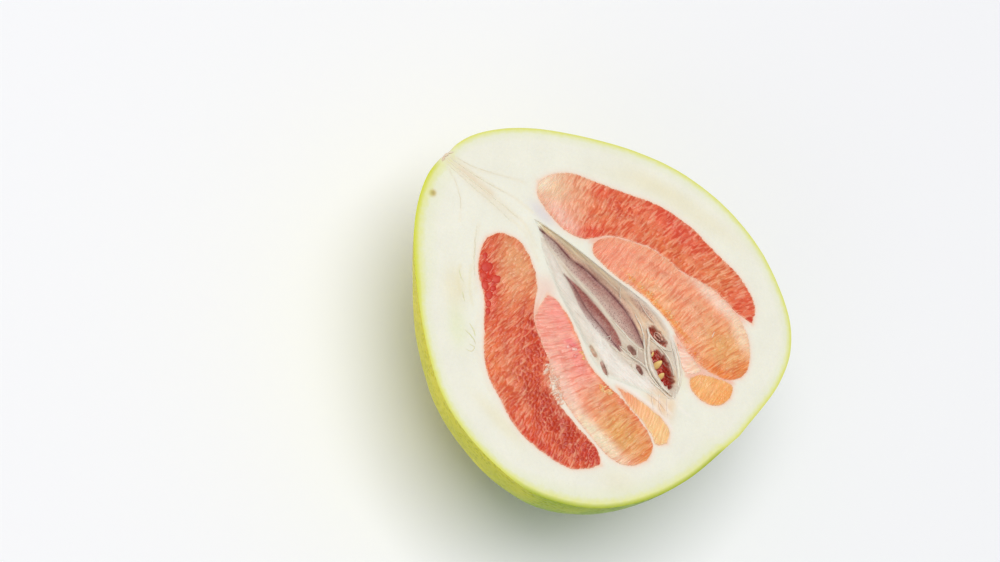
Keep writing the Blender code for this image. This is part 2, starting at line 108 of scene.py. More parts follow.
# The pulps: depth, slot, ground colour, width and length of the long sacs, how far those slant
# from edge to edge, a seed for the random draws, and both edges from stem to blossom. A patch is
# middle x and y, half lengths, turn in degrees, colour, strength. Where sacs are cut across
# (rounds) and where they hardly show (soft), the colour is left out.
PULPS = {
    "outer_near": dict(
        depth=20.0, slot="pulp_red", base="d96438", streak=(1.05, 4.6), slant=1.5, seed=11,
        outer=[
            (-46, -13), (-44, -18.5), (-38, -26), (-29, -31.8), (-21, -40), (-12, -49), (-5, -53.5),
            (3, -56), (10, -58.3), (20, -59.8), (33, -58.2), (43, -54.5), (47.5, -49.5),
            (50.5, -44.5)],
        inner=[
            (-46, -13), (-43.5, -7.5), (-36, -4), (-25, -7), (-18, -12), (-13.5, -18.2),
            (-9.6, -22.9), (-5, -25.4), (2, -28.6), (8, -31.2), (13, -36.2), (20, -39.6), (32, -41),
            (45, -41.6), (50.5, -44.5)],
        patches=[
            (-30, -12, 14, 9, -30, "e0a070", 0.95), (-21, -20, 10, 7, -40, "e69868", 0.8),
            (-43, -15, 4, 6, 0, "d8603f", 0.7), (-35, -25, 9, 4.5, -35, "dc4a36", 0.85),
            (-33, -26, 9, 3.4, -42, "d63014", 0.85), (-26, -33, 7, 3, -45, "df664e", 0.7),
            (-6, -27, 14, 5, -28, "cc4016", 0.8), (-10, -37, 12, 7, -40, "d9643f", 0.5),
            (4, -48, 12, 6, -20, "de8052", 0.8), (-10, -50, 12, 5, -35, "e57c46", 0.85),
            (26, -45, 25, 7, -5, "c43e12", 0.85), (20, -55, 22, 5, -3, "d65024", 0.7),
            (29, -58, 17, 2.2, 3, "ce3812", 0.75), (45, -45, 6, 4, 0, "c8381a", 0.85),
            (17, -37.3, 10, 2.6, -25, "e2a284", 0.8)],
        rounds=[(26, -45, 26, 8, -3, 1.0), (-2, -30, 15, 6, -30, 1.0), (6, -40, 9, 7, -30, 0.8)],
        soft=[(-30, -11, 12, 7, -30, 0.5)]),
    "inner_near": dict(
        depth=16.0, slot="pulp_pink", base="f0a390", streak=(0.8, 8.0), slant=-1.5, seed=12,
        outer=[
            (-13, -10.5), (-12, -14), (-10.6, -19.2), (-7.9, -23.0), (-2, -26.1), (4, -28.8),
            (9, -31.2), (15, -34.2), (24, -37.2), (40, -38.9), (52, -38.9), (59, -35),
            (62.3, -28.5)],
        inner=[
            (-13, -10.5), (-8, -9.8), (0, -11.2), (8, -14.2), (15, -17.5), (22, -19), (30, -19),
            (38, -18.5), (46, -18.8), (54, -20), (60, -23), (62.3, -28.5)],
        soft=[(-4, -17, 12, 9, -20, 0.35), (28, -35.5, 26, 3.5, -6, 0.6)],
        patches=[
            (-4, -13, 9, 5, -15, "f39589", 0.8), (9, -18.5, 4, 2.2, 0, "ee6a78", 0.85),
            (16, -21.5, 9, 3, -15, "ee8a80", 0.7), (5, -24, 12, 4, -28, "eba392", 0.5),
            (47, -28, 18, 10, 0, "dfa65c", 0.95), (32, -28, 7, 10, 0, "e69a70", 0.7),
            (56, -24, 6, 4, -20, "df8a45", 0.7), (40, -22, 12, 3, 0, "e08e50", 0.7),
            (20, -33.4, 15, 3.0, -16, "f0c8b4", 0.85), (42, -37.3, 16, 3.4, 0, "ecdcbc", 0.95),
            (36, -19, 17, 1.4, 0, "de6f34", 0.85), (4, -12.6, 15, 1.0, -20, "ee8450", 0.6),
            (61, -27, 2.6, 6, 0, "e18b42", 0.8)]),
    "tip_near": dict(
        depth=7.0, slot="pulp_orange", base="f1c488", streak=(0.8, 8.0), slant=4.0, seed=13,
        outer=[(33, -16.2), (40, -17.4), (48, -17.8), (56, -19), (60.5, -20.4), (63.2, -17)],
        inner=[(33, -16.2), (38, -14.3), (46, -12.6), (54, -11.6), (60, -12.6), (63.2, -17)],
        patches=[(38, -15.5, 8, 3, 0, "ee9468", 0.85), (47, -15, 6, 3, 0, "f2b07c", 0.7)],
        soft=[(48, -15, 18, 6, 0, 0.5)]),
    "outer_far": dict(
        depth=20.0, slot="pulp_red", base="dd6c45", streak=(1.0, 5.0), slant=1.0, seed=14,
        outer=[
            (-48.5, 21), (-47, 27), (-42, 34), (-32, 40), (-20, 46.8), (-10, 52.8), (0, 56.2),
            (10, 58), (25, 58.3), (35, 58.7), (44, 57), (50, 54), (54, 48.3)],
        inner=[
            (-48.5, 21), (-45, 17), (-35, 14.8), (-26, 15.3), (-20, 18), (-16, 23), (-13.5, 27.6),
            (-9.5, 31.0), (-4, 34.6), (2, 38.1), (10, 40.1), (18, 41.0), (24, 43.5), (34, 46.5),
            (46, 47.0), (54, 48.3)],
        patches=[
            (-42, 24, 10, 12, 0, "e9c29e", 0.97), (-31, 18, 10, 4, 0, "f0bfab", 0.9),
            (-29, 25, 6, 5, 0, "ecaa88", 0.8), (-34, 34, 6, 7, 30, "e8ac84", 0.7),
            (-27, 38.5, 5, 3.5, 20, "df4f2e", 0.85), (-18, 23, 4, 6, -25, "e04f31", 0.9),
            (-23, 32, 8, 8, 0, "e27f52", 0.6), (-4, 52, 10, 3.6, 25, "de5236", 0.75),
            (5, 52, 13, 5.5, 8, "df5a40", 0.8), (-8, 44, 10, 7, 35, "e67c56", 0.6),
            (12, 44, 18, 4.0, 8, "df7846", 0.85), (30, 52, 8, 6, 0, "e28a58", 0.85),
            (46, 51, 8, 5, -20, "e06848", 0.65), (53, 48, 2.5, 2, 0, "cf3428", 0.9),
            (-47, 22, 3, 7, 0, "f2ddc2", 0.9)],
        soft=[(-42, 22, 12, 12, 0, 0.8), (-30, 18, 12, 5, 0, 0.5)],
        rounds=[(-16, 41, 9, 5, 35, 0.6)]),
    "inner_far": dict(
        depth=16.0, slot="pulp_pink", base="eca27c", streak=(0.8, 7.0), slant=2.5, seed=15,
        outer=[
            (-15, 20), (-14.0, 24.2), (-11.6, 27.8), (-7.6, 30.9), (-2, 34.7), (4, 37.7),
            (11, 39.4), (18, 40.2), (24, 42.6), (32, 45.4), (46, 45.6), (55, 43), (62, 37.5),
            (65.5, 32), (66, 27.5)],
        inner=[
            (-15, 20), (-12.5, 17.5), (-6, 17), (2, 18), (10, 20), (20, 21.3), (30, 20.9), (38, 19),
            (46, 17.9), (52, 18), (58, 20), (63, 22.8), (66, 27.5)],
        soft=[(-4, 26, 14, 10, 25, 0.35), (40, 42.5, 26, 5, 0, 0.6)],
        patches=[
            (-4, 24, 14, 8, 25, "f0977c", 0.8), (12, 34, 14, 4, 8, "e6906e", 0.6),
            (38, 43.4, 20, 3.0, 3, "f3d3bd", 0.95), (40, 34, 12, 7, 0, "e49b6e", 0.6),
            (54, 30, 12, 10, 0, "e3a765", 0.92), (64, 30, 3, 8, -10, "e3863d", 0.85),
            (58, 21.5, 9, 2.8, 15, "e57e2a", 0.85), (20, 26, 18, 3.4, 0, "efad7c", 0.7),
            (24, 21.8, 20, 1.3, 0, "ee9a3c", 0.75), (54, 41, 8, 3.4, -25, "f1d4b2", 0.9)]),
    "tip_far": dict(
        depth=8.0, slot="pulp_orange", base="f1ae69", streak=(0.8, 7.0), slant=2.0, seed=16,
        outer=[(51, 10.5), (54, 15.2), (58.5, 18.4), (62.5, 20.8), (66, 21.6), (68.6, 17.5)],
        inner=[(51, 10.5), (54, 8.2), (59, 7.3), (64, 8.7), (67.8, 12.8), (68.6, 17.5)],
        patches=[(67, 15, 3, 6, 0, "ee9c4e", 0.7), (57, 13, 5, 3, 20, "f0b97a", 0.6)],
        soft=[(60, 14, 12, 9, 0, 0.4)]),
    "core_far": dict(
        depth=4.5, slot="pulp_pink", base="f8d6c2", streak=(0.8, 9.0), slant=5.0, seed=17,
        outer=[(36.4, 17.6), (43, 17.1), (48, 16.8), (53.6, 16.4)],
        inner=[(36.4, 17.6), (41, 14.2), (45, 12.0), (49, 11.2), (53.6, 16.4)],
        patches=[(50, 15, 4, 3, 0, "f2ceac", 0.7), (39, 16.8, 3, 1.5, 0, "eea08c", 0.6)],
        soft=[(45, 14, 12, 6, 0, 0.5)]),
}

# Patches of colour on the pith.
PITH_PATCHES = [
    (0, 63, 30, 4.5, 14, "pith_cream", 0.4), (10, -63, 14, 3, 0, "pith_cream", 0.4),
    (-40, -38, 9, 5, -40, "pith_cream", 0.5), (-28, -49, 9, 4, -38, "pith_lime", 0.35),
    (-38, 12.5, 7, 3, 5, "pith_lilac", 0.45), (49.5, -7.5, 7.5, 3.8, -10, "pith_peach", 0.9),
    (53, -4, 3, 5, 20, "pith_peach", 0.5), (-15, -10, 6, 5, -50, "pith_rose", 0.7),
    (48, 7, 5, 8, -30, "pith_cream", 0.35), (60, -44, 8, 5, 40, "pith_cream", 0.3),
    (-62, 0, 16, 3.2, 4, "trace_tan", 0.3), (-20, 55, 20, 4, 32, "pith_cream", 0.3)]

# Soft veins in the pith: points, width, strength, colour.
VEINS = [
    ([(-82, -3), (-72, -1.5), (-60, 0.5), (-50, 2), (-40, 3.2), (-30, 0)], 0.9, 0.8, "trace"),
    ([(-81, 0), (-70, 1.6), (-60, 4.5), (-50, 8), (-41, 9.5)], 0.8, 0.7, "trace"),
    ([(-78, 1), (-68, 5), (-60, 11), (-52, 16)], 0.8, 0.6, "trace"),
    ([(-79, -4), (-71, -6.5), (-64, -10.5), (-58, -17)], 0.7, 0.5, "trace"),
    ([(-52, -12), (-47.5, -18.5), (-41, -26), (-33, -33)], 0.9, 0.6, "trace"),
    ([(-80, -2.5), (-66, -2.5), (-52, -0.5), (-38, 0.5), (-25, -3.5)], 0.7, 0.6, "trace"),
    ([(-26, -39), (-20, -47), (-8, -54.5), (6, -60.5)], 0.7, 0.4, "trace"),
    ([(-82, -2), (-74, -1), (-66, 0.4), (-58, 1.4)], 1.6, 0.5, "trace_tan"),
    ([(-45, -30), (-42, -34.5), (-37, -38)], 0.8, 0.5, "pith_cream"),
    ([(-42, -27), (-36, -33.5), (-30, -38)], 0.7, 0.5, "pith_cream"),
    ([(30, -15.4), (35, -13.4), (44, -11.4), (52, -10.4), (60, -11.2)], 1.0, 0.8, "cotton"),
    ([(0, 19.4), (10, 21.2), (20, 22.2), (30, 22), (38, 20.4)], 0.9, 0.5, "cotton"),
    ([(53, -1), (57, -2), (62, -1.5)], 0.8, 0.5, "cotton"),
    ([(44, -7.4), (50, -6.2), (56, -6.8)], 0.7, 0.6, "cotton"),
    ([(46, -4.6), (49, -8), (51, -11)], 0.7, 0.6, "cotton"),
    ([(51, -2.6), (53, -6.4), (57, -9.6)], 0.7, 0.5, "cotton")]

# Fine fibres that stand a little out of the pith: points, thickness.
PITH_FIBRES = [
    ([(-82.2, -2.6), (-76, -1.9), (-68, -0.9), (-58, 0.9), (-50, 2.1), (-42, 3)], 0.28),
    ([(-81.8, -1.2), (-74, 0.4), (-66, 2.5), (-58, 5.2), (-49, 8.4)], 0.26),
    ([(-81, -3.8), (-74, -3.2), (-64, -2.2), (-54, -1), (-44, -0.4)], 0.22),
    ([(-79.6, -4.4), (-72.4, -5.9), (-65.4, -9.6), (-60.4, -14)], 0.2),
    ([(-80.4, 0.6), (-72, 3.4), (-64.5, 7.8), (-57, 12.8)], 0.2),
    ([(-52.4, -12.6), (-48.3, -17.8), (-43.4, -23.5), (-37, -29.4)], 0.26)]
LIME_FIBRES = [
    ([(-26, -44.2), (-22.6, -44.9), (-20.5, -46.4)], 0.22),
    ([(-25.6, -47.6), (-21, -47.4), (-17.8, -48.6)], 0.2),
    ([(-20.2, -50.6), (-17.5, -49.7), (-17.2, -51.8), (-19.4, -53)], 0.2),
    ([(-45, -31), (-42, -33), (-38.5, -34)], 0.2), ([(-37, -37), (-33, -39.4)], 0.2)]

# A small brown spot in a yellow ring: middle x and y, size of the spot and of the ring.
BLEMISH = (-73.8, -17.2, 0.8, 1.6)

# The oval scar of the stem: middle x and y, size along x, and that size over the one along y.
STEM_SCAR = (-82.0, -1.5, 3.4, 0.75)

# ---------------------------------------------------------------- lines and places

# Points between two given points of a smooth line that distances are measured to.
FINE_STEPS = 24


def smooth_line(points, steps_between=16):
    """Points of a smooth curve (centripetal Catmull-Rom) through the given points."""
    given = np.array(points, float)
    ends = np.vstack([2 * given[0] - given[1], given, 2 * given[-1] - given[-2]])
    gaps = np.sqrt(np.linalg.norm(np.diff(ends, axis=0), axis=1))
    knots = np.concatenate([[0.0], np.cumsum(gaps)])
    share = np.arange(steps_between) / steps_between
    curve = []
    for i in range(1, len(ends) - 2):
        times, lines = knots[i - 1:i + 3], list(ends[i - 1:i + 3])
        t = (times[1] + (times[2] - times[1]) * share)[:, None]
        for apart in (1, 2):
            lines = [a + (b - a) * (t - times[k]) / (times[k + apart] - times[k])
                     for k, (a, b) in enumerate(zip(lines, lines[1:]))]
        first, second = lines
        curve.append(first + (second - first) * (t - times[1]) / (times[2] - times[1]))
    return np.vstack(curve + [given[-1:]])


def lift(flat, height):
    """Flat places at a height, or each at its own."""
    return np.column_stack([flat, height + 0 * flat[:, 0]])


class Rail:
    """A smooth line on the cut face that is read by its share of length, from 0 to 1."""

    def __init__(self, points):
        self.curve = smooth_line(points)
        gaps = np.linalg.norm(np.diff(self.curve, axis=0), axis=1)
        self.lengths = np.concatenate([[0.0], np.cumsum(gaps)])
        self.length = self.lengths[-1]

    def at(self, share):
        wanted = np.clip(share, 0.0, 1.0) * self.length
        return np.column_stack([np.interp(wanted, self.lengths, self.curve[:, i])
                                for i in (0, 1)])


class Lens:
    """The field between two rails, and a little past them, over shares u along and v across."""

    def __init__(self, first, second, past, least_width):
        self.first, self.second = Rail(first), Rail(second)
        self.past, self.least_width = past, least_width

    def width(self, share):
        return np.linalg.norm(self.second.at(share) - self.first.at(share), axis=1)

    def spine(self, share):
        """The middle line, drawn in from both tips, towards which the body below closes."""
        share = 0.5 + (share - 0.5) * SPINE_SHARE
        return 0.5 * (self.first.at(share) + self.second.at(share))

    def flat(self, u, v, closed=0.0):
        share = spread(u)
        first, second = self.first.at(share), self.second.at(share)
        past = self.past / np.maximum(self.width(share), self.least_width)
        place = first + (second - first) * ((v - 0.5) * (1 + 2 * past) + 0.5)[:, None]
        return place + (self.spine(share) - place) * closed

    def level(self, u, v):
        return lift(self.flat(u, v), 0.0)


def spread(share):
    """Columns stand closer together towards both tips."""
    return 0.5 * (share + 0.5 - 0.5 * np.cos(np.pi * share))


def smoothstep(low, high, value):
    t = np.clip((value - low) / (high - low), 0.0, 1.0)
    return t * t * (3 - 2 * t)


def noise_at(size, octaves, seed, x, y, z=0.0):
    """Soft noise, about -1 to 1, with blobs of that size."""
    offset = Vector((seed * 17.3, seed * 5.1, seed * 9.7))
    places = np.column_stack([x, y, z + 0 * x]) / size
    return np.array([noise.fractal(Vector(spot) + offset, 1.0, 2.0, octaves) for spot in places])


def tree_of(spots):
    tree = KDTree(len(spots))
    for index, (x, y) in enumerate(spots):
        tree.insert((x, y, 0.0), index)
    tree.balance()
    return tree


def distance_to(line, x, y):
    """Distance from each x, y to the nearest point of a finely sampled line."""
    tree = tree_of(line)
    return np.array([tree.find((px, py, 0.0))[2] for px, py in zip(x, y)])


def line_share(points, width, x, y):
    """1 on a smooth line, fading over a width to both sides."""
    return np.exp(-(distance_to(smooth_line(points, FINE_STEPS), x, y) / width) ** 2)


def inside_loop(loop, x, y):
    """1 where x, y lies inside a closed line, and 0 outside it."""
    inside = np.zeros(len(x), bool)
    for (x0, y0), (x1, y1) in zip(loop, np.roll(loop, -1, axis=0)):
        if y0 != y1:
            crosses = (y0 > y) != (y1 > y)
            inside ^= crosses & (x < x0 + (x1 - x0) * (y - y0) / (y1 - y0))
    return inside.astype(float)


def in_oval(x, y, oval):
    """Shares along and across a turned oval: 1 at the ends of its half lengths."""
    middle_x, middle_y, half_x, half_y, turn = oval[:5]
    c, s = math.cos(math.radians(turn)), math.sin(math.radians(turn))
    return (((x - middle_x) * c + (y - middle_y) * s) / half_x,
            ((y - middle_y) * c - (x - middle_x) * s) / half_y)


def patch_share(x, y, patch):
    """How much of a soft oval patch there is at x, y, from 0 to 1."""
    along, across = in_oval(x, y, patch)
    return np.exp(-(along ** 2 + across ** 2) ** 1.3)


def patches_share(x, y, patches):
    """The largest share of any of several patches."""
    share = np.zeros(len(x))
    for patch in patches:
        share = np.maximum(share, patch_share(x, y, patch) * patch[5])
    return share


def linear(code):
    """A colour of the palette, or six hexadecimal digits, as linear light."""
    code = PALETTE.get(code, code)
    parts = [int(code[i:i + 2], 16) / 255.0 for i in (0, 2, 4)]
    return np.array([part / 12.92 if part <= 0.04045 else ((part + 0.055) / 1.055) ** 2.4
                     for part in parts])


def tinted(colour, tint, share):
    """Colours with a share of one more laid over each."""
    share = np.clip(share, 0, 1)[:, None]
    return colour * (1 - share) + linear(tint) * share


def painted(x, y, base, patches):
    """A base colour with soft oval patches laid over it in turn."""
    colour = np.tile(linear(base), (len(x), 1))
    for patch in patches:
        colour = tinted(colour, patch[5], patch_share(x, y, patch) * patch[6])
    return colour


# ---------------------------------------------------------------- meshes

SHARP_ANGLE = 50.0


class Sheet:
    """A mesh being made from grids; each vertex keeps its shares u and v of its grid."""

    def __init__(self):
        self.body = bmesh.new()
        self.u = self.body.verts.layers.float.new("u")
        self.v = self.body.verts.layers.float.new("v")

    def grid(self, columns, rows, place, material=0):
        """Adds a grid whose vertex at shares u, v stands at place(u, v)."""
        old = set(self.body.verts)
        old_faces = set(self.body.faces)
        bmesh.ops.create_grid(self.body, x_segments=columns, y_segments=rows, size=0.5)
        made = [vert for vert in self.body.verts if vert not in old]
        shares = np.clip(np.array([vert.co[:2] for vert in made]) + 0.5, 0.0, 1.0)
        for vert, (u, v), spot in zip(made, shares, place(shares[:, 0], shares[:, 1])):
            vert.co = spot
            vert[self.u] = u
            vert[self.v] = v
        for face in self.body.faces:
            if face not in old_faces:
                face.material_index = material

    def merge(self, distance=0.002):
        bmesh.ops.remove_doubles(self.body, verts=self.body.verts[:], dist=distance)

    def belly(self, flat, depth):
        """Closes the open edge below, in rings that draw in to the spine of flat(u, v, closed)."""
        self.merge()
        ring = [edge for edge in self.body.edges if edge.is_boundary]
        for closed, share in BELLY_RINGS:
            made = bmesh.ops.extrude_edge_only(self.body, edges=ring)["geom"]
            ring = [item for item in made if isinstance(item, bmesh.types.BMEdge)]
            verts = [item for item in made if isinstance(item, bmesh.types.BMVert)]
            u, v = (np.array([vert[key] for vert in verts]) for key in (self.u, self.v))
            for vert, spot in zip(verts, lift(flat(u, v, closed), -depth * share)):
                vert.co = spot
        bmesh.ops.contextual_create(self.body, geom=ring)

    def finish(self, name, materials):
        piece = mesh_piece(name, self.body, materials)
        shares = []
        for key in ("u", "v"):
            values = np.zeros(len(piece.data.vertices), np.float32)
            piece.data.attributes[key].data.foreach_get("value", values)
            shares.append(values)
        return piece, *shares


def mesh_piece(name, body, materials):
    """Turns a body in millimetres, measured from the cut face, into a finished piece."""
    bmesh.ops.recalc_face_normals(body, faces=body.faces[:])
    bmesh.ops.scale(body, vec=(MM, MM, MM), verts=body.verts[:])
    bmesh.ops.translate(body, vec=(0, 0, CUT_HEIGHT), verts=body.verts[:])
    mesh = bpy.data.meshes.new(name)
    body.to_mesh(mesh)
    body.free()
    for item in materials:
        mesh.materials.append(item)
    mesh.shade_smooth()
    mesh.set_sharp_from_angle(angle=math.radians(SHARP_ANGLE))
    return linked(name, mesh)


def linked(name, data):
    made = bpy.data.objects.new(name, data)
    bpy.context.scene.collection.objects.link(made)
    return made


def coordinates(piece):
    """Vertex places in millimetres from the cut face."""
    places = np.zeros(len(piece.data.vertices) * 3, np.float32)
    piece.data.vertices.foreach_get("co", places)
    places = places.reshape(-1, 3).astype(float)
    places[:, 2] -= CUT_HEIGHT
    return places / MM


def set_places(piece, places):
    metres = places * MM
    metres[:, 2] += CUT_HEIGHT
    piece.data.vertices.foreach_set("co", metres.astype(np.float32).ravel())
    piece.data.update()


def write(piece, name, values, kind="FLOAT"):
    """Keeps a number, a FLOAT_VECTOR or a FLOAT_COLOR at each vertex."""
    if kind == "FLOAT_COLOR":
        values = np.column_stack([values, np.ones(len(values))])
    layer = piece.data.attributes.new(name, kind, "POINT")
    key = {"FLOAT": "value", "FLOAT_VECTOR": "vector", "FLOAT_COLOR": "color"}[kind]
    layer.data.foreach_set(key, np.asarray(values, np.float32).ravel())


# ---------------------------------------------------------------- juice sacs

ROUND_WIDTH = 1.6
SAC_HEIGHT = 0.30
PULP_LEVEL = 0.12
PULP_LOWEST = 0.08
PULP_EDGE = -0.7
PULP_EDGE_WIDTH = 0.45
PULP_SPACING = 0.24
PULP_OVERLAP = 0.72
PULP_LEAST_WIDTH = 4.0


def sac_cells(along, across, width, length, seed, loose=0.28):
    """A staggered pattern of long cells: share from border to middle, a number per cell."""
    draw = np.random.default_rng(seed)
    columns = np.arange(-2, int(along.max() / width) + 3)
    rows = np.arange(-2, int(across.max() / length) + 3)
    i, j = np.meshgrid(columns, rows, indexing="ij")
    seeds_along = (i + draw.uniform(-loose, loose, i.shape)) * width
    seeds_across = (j + 0.5 * (i % 2) + draw.uniform(-0.35, 0.35, i.shape)) * width
    tone = draw.uniform(0.0, 1.0, i.size)
    tree = tree_of(np.column_stack([seeds_along.ravel(), seeds_across.ravel()]))
    middle = np.zeros(len(along))
    number = np.zeros(len(along))
    for k, (x, y) in enumerate(zip(along, across * width / length)):
        (_, nearest, first), (_, _, second) = tree.find_n((x, y, 0.0), 2)
        middle[k] = second - first
        number[k] = tone[nearest]
    return np.clip(middle / (0.85 * width), 0.0, 1.0), number


def pulp_piece(name, shape, material):
    """One cut segment: long juice sacs across it, round ones where they are cut across."""
    lens = Lens(shape["outer"], shape["inner"], PULP_OVERLAP, PULP_LEAST_WIDTH)
    length = 0.5 * (lens.first.length + lens.second.length)
    samples = np.linspace(0, 1, 60)
    widths = lens.width(samples)
    sheet = Sheet()
    sheet.grid(round(length / PULP_SPACING), round(widths.max() / PULP_SPACING), lens.level)
    sheet.belly(lens.flat, shape["depth"])
    piece, u, v = sheet.finish("flesh_" + name, [material])
    places = coordinates(piece)
    top = places[:, 2] > -ON_LEVEL
    x, y = places[:, 0], places[:, 1]
    seed = shape["seed"]
    width = np.interp(spread(u), samples, widths)
    edge = np.minimum(np.minimum(v, 1 - v) * width,
                      np.minimum(spread(u), 1 - spread(u)) * length)
    drift = noise_at(9.0, 2, seed, x, y)
    ripple = noise_at(3.0, 2, seed + 6, x, y)
    along = spread(u) * length + 1.0 * drift + 0.2 * ripple + shape["slant"] * (v - 0.5)
    across = v * width
    streak_middle, streak_tone = sac_cells(along, across, *shape["streak"], seed)
    round_middle, round_tone = sac_cells(along, across, ROUND_WIDTH, ROUND_WIDTH * 1.1,
                                         seed + 50, 0.45)
    rounds = smoothstep(0.25, 0.6, patches_share(x, y, shape.get("rounds", [])) + 0.15 * drift)
    dots = rounds * smoothstep(0.08, 0.5, round_middle) * smoothstep(0.25, 0.55, round_tone)
    middle = streak_middle + (round_middle - streak_middle) * dots
    tone = streak_tone + (round_tone - streak_tone) * dots
    swell = noise_at(6.0, 2, seed + 3, x, y)
    bulge = 1 - (1 - np.clip(middle * 1.5, 0, 1)) ** 2
    height = PULP_LEVEL + SAC_HEIGHT * bulge * (0.4 + 0.6 * tone) + 0.16 * swell
    height = np.maximum(height, PULP_LOWEST)
    ragged = (0.4 * ripple + 0.28 * (bulge - 0.7)) * smoothstep(0.0, 0.3, edge)
    rise = smoothstep(0.0, PULP_EDGE_WIDTH, edge + ragged)
    height = PULP_EDGE + (height - PULP_EDGE) * rise
    places[top, 2] = height[top]
    set_places(piece, places)

    colour = painted(x, y, shape["base"], shape["patches"])
    pale = (1 - smoothstep(0.3, 1.1, edge + 0.3 * ripple)) * 0.45
    write(piece, "flesh", tinted(colour, "membrane", pale), "FLOAT_COLOR")
    write(piece, "sac_middle", streak_middle)
    write(piece, "sac_tone", streak_tone)
    write(piece, "sac_dots", dots)
    write(piece, "sac_strength", 1 - patches_share(x, y, shape.get("soft", [])))
    write(piece, "grain", np.column_stack([along, across, 0 * x]), "FLOAT_VECTOR")
    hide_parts("pulp_" + name)
    return piece


# ---------------------------------------------------------------- peel

PROFILE_COLUMNS = 260
TURN_ROWS = 168
PITH_ROWS = 90
RIM_SWELL = 1.2
RIM_DRAWN_IN = 1.3
LINING_LAP = 0.3
LINING_LAP_HEIGHT = 0.05
LINING_LEAST_WIDTH = 2.0
MIDDLE_X = 10.0
POCKET_REACH = 4.0
FAR_OFF = 99.0

HALF = Rail(HALF_OUTLINE)
CORE = Lens(CORE_NEAR_RIM, CORE_FAR_RIM, LINING_LAP, LINING_LEAST_WIDTH)


def bent(x, y, z):
    """The undercut stem end, the blossom end set to one side, and the uneven near rim."""
    past = np.maximum(x - BLOSSOM_SHIFT_START, 0.0) / (BLOSSOM_END - BLOSSOM_SHIFT_START)
    before = np.maximum(STEM_UNDERCUT_START - x, 0.0) / (STEM_UNDERCUT_START + BLOSSOM_END)
    near = np.clip(-y / 45.0, 0.0, 1.0) ** 2
    swell = RIM_SWELL * np.exp(-((x + 8.0) / 20.0) ** 2 + z / 12.0)
    drawn = RIM_DRAWN_IN * smoothstep(34.0, 52.0, x) * np.exp(z / 7.0)
    return np.column_stack([x - STEM_UNDERCUT * before ** 2 * z,
                            y + BLOSSOM_SHIFT * past ** 2 - near * (swell - drawn), z])


def outline_side(share, side):
    """The cut outline on the near side (-1) or the far side (+1)."""
    x, y = HALF.at(share).T
    return bent(x, side * y, 0 * x)[:, :2]


def round_loop(u, near_line, far_line):
    """A place on a closed line made of a near and a far line, for u once round it."""
    near = u <= 0.5
    share = spread(np.where(near, 2 * u, 2 - 2 * u))
    return np.where(near[:, None], near_line(share), far_line(share))


def core_loop(u):
    return round_loop(u, CORE.first.at, CORE.second.at)


def cut_face(u, v):
    inner = core_loop(u)
    outer = round_loop(u, lambda share: outline_side(share, -1),
                       lambda share: outline_side(share, 1))
    return lift(inner + (outer - inner) * v[:, None], 0.0)


def back(u, v):
    x, y = HALF.at(spread(u)).T
    places = bent(x, -y * np.cos(np.pi * v), -y * np.sin(np.pi * v))
    places[:, 2] = np.maximum(places[:, 2], FLOOR)
    return places


def core_pocket(u, v, closed):
    inner = core_loop(u)
    return inner + (round_loop(u, CORE.spine, CORE.spine) - inner) * closed


